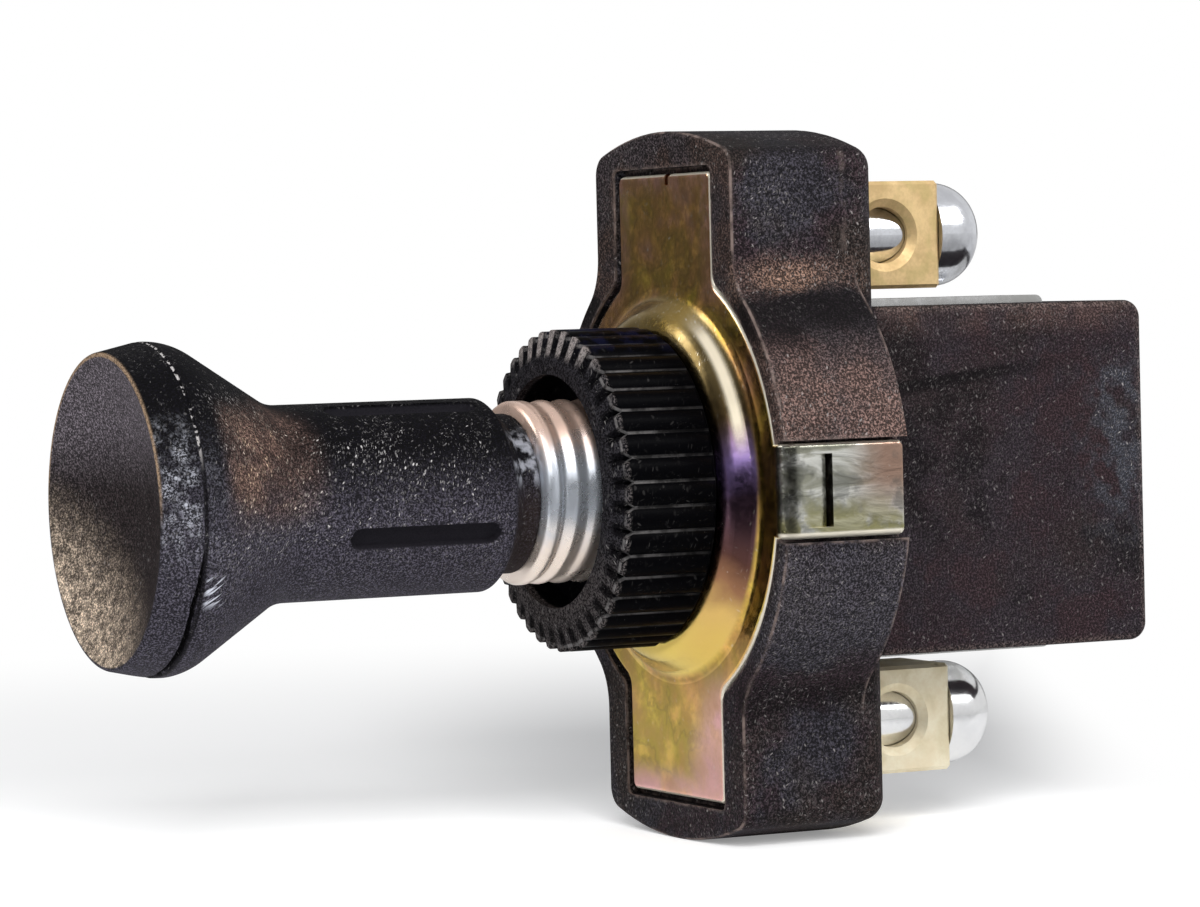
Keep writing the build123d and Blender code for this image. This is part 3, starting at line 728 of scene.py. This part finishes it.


# plate: yellow chromate over zinc, film colours with painted reflections and highlights on the boss, bare
# cut edges painted bright as glints, straps streaked with painted reflection and blotched
plateLook = {
    "grain": {"Fine": 1.6, "Patch": 0.45, "Shift": 31.0},
    "flecks": {"Scale": 8.5, "Size": 0.34, "Patch": 0.3},
    "edge": rgb(0.92, 0.86, 0.72),
    "pink": rgb(0.96, 0.52, 0.52),
    "strap": rgb(0.40, 0.40, 0.32),
    "strapLight": rgb(0.90, 0.90, 0.84),
    "strapEnd": rgb(0.46, 0.30, 0.23),
    "strapDark": rgb(0.13, 0.135, 0.125),
    "strapOlive": rgb(0.40, 0.37, 0.12),
    "copper": rgb(0.80, 0.44, 0.28),
    # film colours around the boss, banded by angle with painted dark and bright reflections
    "rainbowAndReflection": [
        (0.00, (0.92, 0.68, 0.15)),
        (0.15, (0.84, 0.56, 0.18)),
        (0.23, (0.34, 0.17, 0.09)),
        (0.32, (0.11, 0.050, 0.040)),
        (0.48, (0.12, 0.070, 0.11)),
        (0.58, (0.52, 0.36, 0.82)),
        (0.69, (0.32, 0.20, 0.20)),
        (0.82, (0.86, 0.72, 0.44)),
        (1.00, (0.44, 0.30, 0.08)),
    ],
    "tide": rgb(0.27, 0.17, 0.06),
    # painted highlight on the boss and the painted dark reflection around it
    "highlightPale": rgb(1.0, 0.90, 0.70),
    "hollowShading": rgb(0.10, 0.066, 0.015),
    "dust": rgb(0.85, 0.80, 0.72),
    "roughness": (0.19, 0.27),
    "bump": (0.14, 0.04),
    "metalEnds": (1.0, 0.45),
    "pits": (0.93, 0.84),
    "filmScale": 0.24,
    "filmDrift": (-6.0, 8.0, 0.02, -0.08),
    "dustAmount": (4.0, 12.0, 0.12, 0.6),
    "swirl": 0.3,
    "cornerHeight": -18.0,
    "cornerLean": -0.35,
    "strapRelief": 14.0,
    "grainRelief": 0.2,
    "noises": {"strapBlotches": {"Scale": 0.55, "Detail": 4.0}},
    "streaks": {"Scale": 0.9, "Detail": 4.0, "Distortion": 0.6},
    "streakStretch": (1.0, 0.3, 1.0),
    "zones": {
        "tides": {"cloud": (0.500, 0.515, 0.522, 0.545), "share": 0.3},
        "pinkUpper": {
            "either": ({"side": (4.3, 6.5)}, {"z": (18.7, 20.6)}),
            "z": (11, 14.5),
            "patches": ((0.1, 0.8), (0.3, 0.85)),
        },
        "pinkLower": {"corner": (0.5, 5), "z": (-11, -14.5)},
        "pinkTab": {
            "either": ("pinkUpper", "pinkLower", {"z": (-18.2, -20.4)}),
            "cloud": ((0.35, 0.6), (0.45, 0.95)),
        },
        "boss": {"radius": (13.8, 13.2), "y": (1.86, 1.6)},
        # painted highlight: a pale crest on the boss's upper right, with painted dark reflection beside it
        "arc": {"up": (0.15, 0.45, 0.80, 0.95), "x": (2, 5)},
        "arcDarkReflection": {"arc": None, "share": 0.9},
        "bossHighlight": {"arc": None, "boss": None, "radius": (11.55, 11.85, 12, 12.35)},
        # painted copper highlight low on the boss
        "copperHighlight": {"swirl": (-0.9, -0.65, -0.3, -0.1), "radius": (12.5, 12.9), "share": 0.8},
        "fold": {"side": (14.4, 15), "tall": (3.4, 3.2)},
        # the strap: painted streaked reflections, dark blotches, and olive and pink film
        "foldLight": {"streaks": (0.38, 0.62)},
        "foldEnd": {"y": (6, 9.5), "z": (-3, 1.2)},
        "foldDark": {"strapBlotches": (0.5, 0.64), "share": 0.5},
        "foldOlive": {"z": (0.5, -2.6), "strapBlotches": (0.58, 0.44), "share": 0.7},
        "notch": {"x": (0.1, 0.25, 0.85, 1), "z": (19.5, 19.7)},
        # bare cut edges, also painted bright as a glint; the strap's fold edges and hem painted bright as
        # reflection
        "cut": {"turnY": (0.97, 0.75), "radius": (13.6, 14.2), "outside": ("fold", "notch")},
        "foldEdge": {"fold": None, "turnZ": (0.35, 0.8)},
        "hemReflection": {"fold": None, "z": (-3.1, -2.98, -2.75, -2.55)},
        "edgesBareAndLit": {"either": ("cut", "foldEdge", "hemReflection")},
        "dusty": {"dust": None, "share": 0.6},
    },
    "tabLayers": {"tides": "tide", "pinkTab": "pink"},
    "bossLayers": {"arcDarkReflection": "hollowShading", "bossHighlight": "highlightPale", "copperHighlight": "copper"},
    "foldLayers": {
        "foldLight": "strapLight",
        "foldEnd": "strapEnd",
        "foldDark": "strapDark",
        "foldOlive": "strapOlive",
    },
    "topLayers": {"edgesBareAndLit": "edge", "dusty": "dust"},
}


def plateFinish():
    look = plateLook
    finish, tree, shader = newFinish("yellowChromate")
    at = fields(tree, look)
    drift = remap(tree, at["z"], *look["filmDrift"])
    film, at["cloud"] = useGroup(tree, chromateFilm, Scale=look["filmScale"], Drift=drift)
    lowered = calc(tree, "SUBTRACT", at["z"], look["cornerHeight"])
    at["corner"] = calc(tree, "MULTIPLY_ADD", lowered, look["cornerLean"], at["x"])
    at["swirl"] = swayed(tree, at["up"], at["cloud"], look["swirl"])
    drawn = stretched(tree, partPlace(tree), look["streakStretch"])
    at["streaks"] = cloudy(tree, Vector=drawn, **look["streaks"])
    amount = remap(tree, at["z"], *look["dustAmount"])
    at["dust"] = useGroup(tree, dustFlecks, Amount=amount, **look["flecks"])["Mask"]
    markZones(tree, at, look["zones"])
    fine, coarse = look["pits"]
    base = grained(tree, at["patches"], grained(tree, at["tone"], film, fine), coarse)
    base = layered(tree, base, at, look, look["tabLayers"])
    rainbowAndReflection = ramp(tree, remap(tree, at["swirl"], -1.0, 1.0, soft=False), look["rainbowAndReflection"])
    base = tint(tree, at["boss"], base, layered(tree, rainbowAndReflection, at, look, look["bossLayers"]))
    base = tint(tree, at["fold"], base, layered(tree, look["strap"], at, look, look["foldLayers"]))
    base = layered(tree, base, at, look, look["topLayers"])
    fine = times(tree, at["height"], look["grainRelief"])
    relief = calc(tree, "MULTIPLY_ADD", times(tree, at["streaks"], at["fold"]), look["strapRelief"], fine)
    metal = between(tree, most(tree, at["edgesBareAndLit"], at["bossHighlight"]), *look["metalEnds"])
    feed(tree, shader, look, base, at["tone"], relief, metal)
    return finish


# metal finishes that differ only in colour, gloss and spotting
metalShared = {
    "fine": 4.0,
    "shift": 7.0,
    "metal": 1.0,
    "bump": (0.1, 0.02),
    "toneShare": 0.25,
    "dullness": (0.4, 0.6),
    "lower": (5.0, -5.0),
    "lowerDull": 0.75,
}
metalLooks = {
    "terminal_brass": {
        "light": rgb(0.86, 0.63, 0.32),
        "dull": rgb(0.64, 0.45, 0.22),
        "litBelow": rgb(1.0, 0.92, 0.70),
        "tarnish": rgb(0.52, 0.41, 0.16),
        "spot": rgb(0.22, 0.15, 0.09),
        "spotChance": 0.3,
        "spotScale": 0.75,
        "noises": {"cloud": {"Scale": 0.6, "Detail": 3.0, "Distortion": 0.15}},
        "zones": {
            # the tarnish thins on the lower side, as painted light
            "film": {"cloud": ((0.42, 0.66), (0, 0.55)), "lower": ((0, 1), (1, 0.5))},
            "spots": {"rare": None, "middle": (0.2, 0.05), "share": 0.6},
        },
        "layers": {"film": "tarnish", "spots": "spot"},
        "roughness": (0.42, 0.6),
        "patch": 0.5,
        "metal": 0.5,
    },
    "bright_screw": {
        "light": rgb(0.88, 0.90, 0.95),
        "dull": rgb(0.66, 0.67, 0.71),
        "litBelow": rgb(1.0, 1.0, 1.0),
        "roughness": (0.12, 0.26),
        "patch": 0.4,
    },
    "bright_strip": {
        "light": rgb(0.84, 0.84, 0.84),
        "dull": rgb(0.60, 0.60, 0.58),
        "roughness": (0.2, 0.4),
        "patch": 0.35,
    },
    "contact_brass": {
        "light": rgb(0.72, 0.56, 0.26),
        "dull": rgb(0.56, 0.42, 0.20),
        "roughness": (0.25, 0.4),
        "patch": 0.6,
    },
    "spring_steel": {
        "light": rgb(0.60, 0.60, 0.60),
        "dull": rgb(0.42, 0.42, 0.43),
        "roughness": (0.25, 0.4),
        "patch": 0.6,
    },
    "rod_steel": {
        "light": rgb(0.74, 0.73, 0.71),
        "dull": rgb(0.56, 0.55, 0.53),
        "roughness": (0.2, 0.36),
        "patch": 0.5,
    },
}


def metalFinish(slot, own):
    look = {**metalShared, **own}
    finish, tree, shader = newFinish(slot)
    look["grain"] = {"Fine": look["fine"], "Patch": look["patch"], "Shift": len(slot) * look["shift"]}
    at = fields(tree, look)
    light = look["light"]
    dull = look["dull"]
    # painted light: the lower side is paler
    if "litBelow" in look:  # paler on the lower side
        at["lower"] = remap(tree, at["z"], *look["lower"])
        light = tint(tree, at["lower"], light, look["litBelow"])
        dull = tint(tree, times(tree, at["lower"], look["lowerDull"]), dull, look["litBelow"])
    base = tint(tree, at["patches"], light, dull)
    base = tint(tree, times(tree, at["tone"], look["toneShare"]), base, dull)
    if "tarnish" in look:  # olive clouds and a few dark spots
        at["middle"], lucky, _ = cells(tree, look["spotScale"], partPlace(tree))
        at["rare"] = calc(tree, "LESS_THAN", lucky, look["spotChance"])
        markZones(tree, at, look["zones"])
        base = layered(tree, base, at, look, look["layers"])
    toneShare, patchShare = look["dullness"]
    mixed = calc(tree, "MULTIPLY_ADD", at["tone"], toneShare, times(tree, at["patches"], patchShare))
    feed(tree, shader, look, base, mixed, at["height"])
    return finish


# bush: bright zinc, its tint and a painted reflection banded by height, from pink at the top through
# blue-grey to cream below
bushLook = {
    "grain": {"Fine": 4.0, "Patch": 0.5, "Shift": 61.0},
    "top": rgb(0.95, 0.69, 0.57),
    "middle": rgb(0.73, 0.78, 0.86),
    "litBelow": rgb(1.0, 0.87, 0.77),
    "roughness": (0.26, 0.38),
    "bump": (0.1, 0.02),
    "metal": 0.75,
    "sway": 0.8,
    "zones": {"high": {"lean": (1.5, 4.5)}, "low": {"lean": (-1, -4)}},
    "layers": {"high": "top", "low": "litBelow"},
}


def bushFinish():
    look = bushLook
    finish, tree, shader = newFinish("bushZinc")
    at = fields(tree, look)
    at["lean"] = swayed(tree, at["z"], at["patches"], look["sway"])
    markZones(tree, at, look["zones"])
    base = layered(tree, look["middle"], at, look, look["layers"])
    feed(tree, shader, look, base, at["patches"], at["height"])
    return finish


# carriage: brown insulating board
boardLook = {
    "grain": {"Fine": 5.0, "Patch": 0.5, "Shift": 47.0},
    "dark": rgb(0.16, 0.085, 0.04),
    "light": rgb(0.26, 0.15, 0.075),
    "roughness": (0.5, 0.75),
    "bump": (0.4, 0.04),
}


def boardFinish():
    look = boardLook
    finish, tree, shader = newFinish("carriageBoard")
    at = fields(tree, look)
    base = tint(tree, at["tone"], look["dark"], look["light"])
    feed(tree, shader, look, base, at["tone"], at["height"])
    return finish


finishes = {slot: metalFinish(slot, own) for slot, own in metalLooks.items()}
finishes["knob_moulding"] = knobFinish()
finishes["housing_moulding"] = housingFinish()
finishes["nut_moulding"] = nutFinish()
finishes["yellow_chromate"] = plateFinish()
finishes["carriage_board"] = boardFinish()
finishes["bright_zinc"] = bushFinish()
for part in nodes.values():
    for place in part.material_slots:
        place.material = finishes[place.material.name.split(".")[0]]
print("finishes on", len(nodes), "nodes")


# threaded bush: the CAD blank with its rolled thread, all in mm and degrees
bush = {
    "bore": 2.55,
    "major": 6.0,
    "reach": 10.0,
    "lip": 0.7,
    "lipChamfer": 0.35,
    "lipRound": (0.1, 0.18),
    "pitch": 1.5,
    "threadDepth": 0.24,
    "threadEnd": 0.4,
    "threadFade": 0.5,
    "seat": 0.9,
    "flange": 9.2,
    "flangeRear": 2.75,
    "around": 160,
    "perTurn": 20,
    "sharp": 50,
}


def clamped(value):
    return min(1.0, max(0.0, value))


def threadRadius(y, angle):
    start = -bush["reach"] + bush["lip"]
    turn = (y - start) / bush["pitch"] - angle / fullTurn
    wave = 0.5 + 0.5 * math.cos(fullTurn * turn)
    fade = clamped((y - start) / bush["threadFade"]) * clamped((bush["threadEnd"] - y) / bush["threadFade"])
    return bush["major"] - bush["threadDepth"] * (1 - wave) * fade


def lathe(name, rings, around, closed=True):
    mesh = bpy.data.meshes.new(name)
    shape = bmesh.new()
    rows = []
    for ring in rings:
        row = []
        for step in range(around):
            angle = fullTurn * step / around
            radius, y = ring(angle)
            at = (radius * math.cos(angle) * mm, y * mm, radius * math.sin(angle) * mm)
            row.append(shape.verts.new(at))
        rows.append(row)
    pairs = list(zip(rows, rows[1:]))
    if closed:
        pairs.append((rows[-1], rows[0]))
    for first, second in pairs:
        for step in range(around):
            after = (step + 1) % around
            shape.faces.new((first[step], first[after], second[after], second[step]))
    if not closed:  # a fan at each end
        for row in (rows[0], rows[-1]):
            middle = shape.verts.new((0, row[0].co.y, 0))
            for step in range(around):
                shape.faces.new((row[step], row[(step + 1) % around], middle))
    bmesh.ops.recalc_face_normals(shape, faces=shape.faces)
    shape.to_mesh(mesh)
    shape.free()
    made = bpy.data.objects.new(name, mesh)
    scene.collection.objects.link(made)
    return made


def plainRing(radius, y):
    return lambda angle: (radius, y)


def threadRing(y):
    return lambda angle: (threadRadius(y, angle), y)


def makeBush():
    front = -bush["reach"]
    inset, back = bush["lipRound"]
    rings = [plainRing(bush["bore"], front), plainRing(bush["major"] - bush["lipChamfer"], front)]
    rings.append(plainRing(bush["major"] - inset, front + back))
    rings.append(plainRing(bush["major"], front + bush["lipChamfer"]))
    step = bush["pitch"] / bush["perTurn"]
    count = int((bush["threadEnd"] - front - bush["lip"]) / step)
    rings += [threadRing(front + bush["lip"] + k * step) for k in range(count + 1)]
    rings += [plainRing(bush["major"], bush["seat"]), plainRing(bush["flange"], bush["seat"])]
    rings += [plainRing(bush["flange"], bush["flangeRear"]), plainRing(bush["bore"], bush["flangeRear"])]
    made = lathe("bushThread", rings, bush["around"])
    made.data.materials.append(finishes["bright_zinc"])
    made.data.shade_smooth()
    made.data.set_sharp_from_angle(angle=math.radians(bush["sharp"]))
    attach(made, "body")
    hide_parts("threaded_bush")


makeBush()
print("bush threaded")


# knob: the CAD form with its worn seam and the crack that opens under it, in mm and degrees
knobForm = {
    "face": -38.0,
    "dish": 9.725,
    "dishDepth": 2.6,
    "dishRings": 40,
    "rim": 9.975,
    "rimRound": 0.2,
    "widest": 10.575,
    "seam": -35.3,
    "seamRound": 1.0,
    "shoulder": -33.9,
    "shoulderRound": 4.0,
    "throat": -27.2,
    "throatRound": 3.2,
    "stem": 6.3,
    "stemEnd": -12.4,
    "collar": 5.2,
    "collarStart": -11.3,
    "heelRound": 0.4,
    "rear": -10.05,
    "rearRound": 0.2,
    "bore": 2.55,
    "boreDepth": 14.05,
    "grooves": 4,
    "grooveTurn": -21.0,
    "grooveMid": -18.5,
    "grooveReach": 4.475,
    "grooveHalf": 0.725,
    "grooveDepth": 0.6,
    "grooveSpan": 0.3,
    "grooveSoft": (0.06, 0.16),
    "seamHalf": 0.12,
    "seamDepth": 0.09,
    "seamReach": 1.2,
    "crackAngles": (-105, -80, -32, -6),
    "crackHalf": 0.07,
    "crackDepth": 0.38,
    "crackShift": -0.28,
    "crackNoise": (4.0, 19.0),
    "crackSlice": 0.3,
    "crackWander": (0.16, 0.10),
    "crackRagged": 0.6,
    "sagDepth": 0.10,
    "sagReach": 1.1,
    "step": 0.2,
    "fineReach": 0.8,
    "fineParts": 4,
    "around": 288,
    "sharp": 55,
}


# straight runs with rounded corners; each corner is radius, y and rounding
def roundedLine(corners, step):
    points = []

    def run(first, last):
        count = max(1, round((last - first).length / step))
        points.extend(first.lerp(last, k / count) for k in range(count))

    here = Vector(corners[0][:2])
    for before, corner, after in zip(corners, corners[1:], corners[2:]):
        at = Vector(corner[:2])
        back = (Vector(before[:2]) - at).normalized()
        ahead = (Vector(after[:2]) - at).normalized()
        half = back.angle(ahead) / 2
        start, end = (at + way * corner[2] / math.tan(half) for way in (back, ahead))
        run(here, start)
        centre = at + (back + ahead).normalized() * corner[2] / math.sin(half)
        arm = start - centre
        sweep = math.copysign(math.pi - 2 * half, arm.cross(end - centre))
        count = max(3, round(corner[2] * abs(sweep) / step))
        points.extend(centre + Matrix.Rotation(sweep * k / count, 2) @ arm for k in range(count))
        here = end
    run(here, Vector(corners[-1][:2]))
    points.append(Vector(corners[-1][:2]))
    return points


def smooth(value):
    value = clamped(value)
    return value * value * (3 - 2 * value)


def nearTurn(angle):
    return (angle + math.pi) % fullTurn - math.pi


def grooveSkin(radius, y, angle):
    form = knobForm
    edge, soft = form["grooveSoft"]
    for k in range(form["grooves"]):
        turn = nearTurn(angle - math.radians(form["grooveTurn"] + 360 * k / form["grooves"]))
        if abs(turn) < form["grooveSpan"]:
            along = max(0.0, abs(y - form["grooveMid"]) - form["grooveReach"])
            inside = form["grooveHalf"] - math.hypot(radius * math.sin(turn), along)
            bottom = (form["stem"] - form["grooveDepth"]) / math.cos(turn)
            radius += (bottom - radius) * smooth((inside + edge) / soft)
    return radius


def seamSkin(radius, y, angle):
    form = knobForm
    around = Vector((math.cos(angle), math.sin(angle), form["crackSlice"]))
    rough, fine = (noise.noise(around * scale) for scale in form["crackNoise"])
    a, b, c, d = (math.radians(v) for v in form["crackAngles"])
    turn = nearTurn(angle)
    gape = smooth((turn - a) / (b - a)) * smooth((d - turn) / (d - c))
    wide, narrow = form["crackWander"]
    line = form["seam"] + gape * (form["crackShift"] + wide * rough + narrow * fine)
    half = form["seamHalf"] + gape * form["crackHalf"] * (1 + form["crackRagged"] * fine)
    off = abs(y - line) / half
    if off < 1:
        radius -= (form["seamDepth"] + gape * form["crackDepth"]) * (1 - off * off)
    return radius - form["sagDepth"] * gape * smooth(1 - abs(y - line) / form["sagReach"]) * (0.5 + rough)


def knobRing(radius, y):
    form = knobForm
    if radius > form["bore"] + 1 and form["throat"] < y < form["stemEnd"]:
        return lambda angle: (grooveSkin(radius, y, angle), y)
    if radius > form["dish"] and abs(y - form["seam"]) < form["seamReach"]:
        return lambda angle: (seamSkin(radius, y, angle), y)
    return plainRing(radius, y)


def makeKnob():
    form = knobForm
    ball = (form["dish"] ** 2 + form["dishDepth"] ** 2) / (2 * form["dishDepth"])
    deepest = form["face"] + form["dishDepth"]
    line = []
    for k in range(1, form["dishRings"]):
        radius = form["dish"] * k / form["dishRings"]
        line.append(Vector((radius, deepest - ball + math.sqrt(ball ** 2 - radius ** 2))))
    corners = [
        (form["dish"], form["face"], 0),
        (form["rim"], form["face"], form["rimRound"]),
        (form["widest"], form["seam"], form["seamRound"]),
        (form["widest"], form["shoulder"], form["shoulderRound"]),
        (form["stem"], form["throat"], form["throatRound"]),
        (form["stem"], form["stemEnd"], form["heelRound"]),
        (form["collar"], form["collarStart"], form["heelRound"]),
        (form["collar"], form["rear"], form["rearRound"]),
        (form["bore"], form["rear"], 0),
    ]
    outer = roundedLine(corners, form["step"])
    for first, last in zip(outer, outer[1:]):
        close = abs((first.y + last.y) / 2 - form["seam"]) < form["fineReach"]
        parts = form["fineParts"] if close else 1
        line.extend(first.lerp(last, k / parts) for k in range(parts))
    line.append(outer[-1])
    line.append(Vector((form["bore"], form["rear"] - form["boreDepth"])))
    made = lathe("knobWorn", [knobRing(at.x, at.y) for at in line], form["around"], closed=False)
    made.data.materials.append(finishes["knob_moulding"])
    made.data.shade_smooth()
    made.data.set_sharp_from_angle(angle=math.radians(form["sharp"]))
    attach(made, "plunger")
    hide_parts("knob")


makeKnob()
print("knob turned")


# studio: white sweep and soft light; what shines sees a dim room with its bright side on the right;
# lamps in mm, spans over the floor in m; a lamp with "floor" lights only the floor, or all but it
studio = {
    "floor": rgb(0.90, 0.90, 0.90),
    "floorSize": 3.0,
    "rightward": (0.448, 0.894, 0.0),
    "liftDepth": (-0.075, -0.005),
    "liftBack": (-0.028, -0.002, 0.17, 0.0),
    "liftFront": (-0.030, -0.004, 0.46, 0.26),
    "farFade": (0.07, 0.19),
    "rightFade": (0.025, 0.039),
    "shine": (-0.15, 0.25, 0.05, 0.6),
    "shineFar": (0.05, 0.3),
    "shineFront": (0.015, 0.05),
    "fill": 0.42,
    "fillColour": rgb(0.97, 0.98, 1.0),
    "darkSide": (0.89, -0.45, 0.06),
    "sideLevel": (-0.35, 0.5, 0.14, 0.7),
    "darkLevel": (0.6, 0.95, 1.0, 0.02),
    "backLevel": (-0.84, -0.96, 1.0, 0.12),
    "topLevel": (0.35, 0.8, 0.0, 0.5),
    "lamps": {
        "key": {
            "at": (320, -120, 380),
            "aim": (0, -5, 0),
            "size": 380,
            "watts": 1.6,
            "colour": (1.0, 0.98, 0.96),
            "floor": "EXCLUDE",
        },
        "sweep": {
            "at": (400, -200, 190),
            "aim": (-40, 10, -20),
            "size": 240,
            "watts": 3.6,
            "floor": "INCLUDE",
        },
        "back": {
            "at": (-230, -330, 300),
            "aim": (0, -10, 0),
            "size": 200,
            "watts": 0.45,
            "colour": (1.0, 0.97, 0.93),
            "floor": "EXCLUDE",
        },
        "right": {"at": (300, 330, 300), "aim": (0, 5, 0), "size": 240, "watts": 1.0, "floor": "EXCLUDE"},
        "front": {"at": (210, -280, 150), "aim": (0, 0, 0), "size": 140, "watts": 0.08},
    },
}


def addLamp(name, look, floor):
    data = bpy.data.lights.new(name, "AREA")
    data.shape = "SQUARE"
    data.size = look["size"] * mm
    data.energy = look["watts"]
    data.color = look.get("colour", (1.0, 1.0, 1.0))
    lamp = bpy.data.objects.new(name, data)
    scene.collection.objects.link(lamp)
    at = Vector(look["at"]) * mm
    aim = Vector(look["aim"]) * mm
    lamp.matrix_world = Matrix.Translation(at) @ (aim - at).to_track_quat("-Z", "Y").to_matrix().to_4x4()
    if "floor" in look:
        chosen = bpy.data.collections.new(name + "Light")
        chosen.objects.link(floor)
        chosen.collection_objects[0].light_linking.link_state = look["floor"]
        lamp.light_linking.receiver_collection = chosen


def setWorld():
    world = bpy.data.worlds.new("whiteStudio")
    scene.world = world
    world.use_nodes = True
    tree = world.node_tree
    tree.nodes.clear()
    path = put(tree, "LightPath").outputs
    direction = put(tree, "TexCoord").outputs["Generated"]
    _, across, up = split(tree, direction)
    aim = Vector(studio["darkSide"]).normalized()
    towards = dot(tree, direction, aim)
    dark = remap(tree, towards, *studio["darkLevel"])
    back = remap(tree, towards, *studio["backLevel"])
    level = times(tree, remap(tree, across, *studio["sideLevel"]), dark, back)
    level = most(tree, level, remap(tree, up, *studio["topLevel"]))
    seen = tint(tree, path["Is Camera Ray"], level, rgb(1, 1, 1))
    white = put(tree, "Background", {"Color": seen, "Strength": 1.0})
    fill = put(tree, "Background", {"Color": studio["fillColour"], "Strength": studio["fill"]})
    shown = most(tree, path["Is Camera Ray"], path["Is Glossy Ray"])
    mixed = put(tree, "MixShader", {0: shown, 1: fill.outputs[0], 2: white.outputs[0]})
    give(tree, put(tree, "OutputWorld").inputs[0], mixed.outputs[0])


def makeFloor():
    mesh = bpy.data.meshes.new("floor")
    shape = bmesh.new()
    bmesh.ops.create_grid(shape, x_segments=1, y_segments=1, size=studio["floorSize"])
    shape.to_mesh(mesh)
    shape.free()
    floor = bpy.data.objects.new("floor", mesh)
    scene.collection.objects.link(floor)
    floor.location.z = cadBox[0].z
    finish = bpy.data.materials.new("whiteSweep")
    finish.use_nodes = True
    tree = finish.node_tree
    tree.nodes.clear()
    path = put(tree, "LightPath").outputs
    place = put(tree, "TexCoord").outputs["Object"]
    along, across, _ = split(tree, place)
    far = put(tree, "VectorMath", {0: place}, operation="LENGTH").outputs["Value"]
    right = dot(tree, place, studio["rightward"])
    # the camera sees the paper lifted towards white, most of all in front and on the left
    back = remap(tree, right, *studio["liftBack"])
    front = remap(tree, right, *studio["liftFront"])
    lift = remap(tree, along, *studio["liftDepth"], back, front)
    paper = put(tree, "BsdfDiffuse", {"Color": studio["floor"]})
    glow = put(tree, "Emission", {"Strength": times(tree, path["Is Camera Ray"], lift)})
    paper = put(tree, "AddShader", {0: paper.outputs[0], 1: glow.outputs[0]})
    white = put(tree, "Emission", {"Color": rgb(1, 1, 1), "Strength": 1.0})
    fade = most(tree, remap(tree, far, *studio["farFade"]), remap(tree, right, *studio["rightFade"]))
    fade = times(tree, fade, path["Is Camera Ray"])
    mixed = put(tree, "MixShader", {0: fade, 1: paper.outputs[0], 2: white.outputs[0]})
    # what shines sees the far floor and the camera's side fade into the same dim room
    room = put(tree, "Emission", {"Strength": remap(tree, across, *studio["shine"])})
    away = most(tree, remap(tree, far, *studio["shineFar"]), remap(tree, along, *studio["shineFront"]))
    away = times(tree, away, path["Is Glossy Ray"])
    mixed = put(tree, "MixShader", {0: away, 1: mixed.outputs[0], 2: room.outputs[0]})
    give(tree, put(tree, "OutputMaterial").inputs[0], mixed.outputs[0])
    mesh.materials.append(finish)
    return floor


sweepFloor = makeFloor()
for lampName, lampLook in studio["lamps"].items():
    addLamp(lampName, lampLook, sweepFloor)
setWorld()
print("studio set")
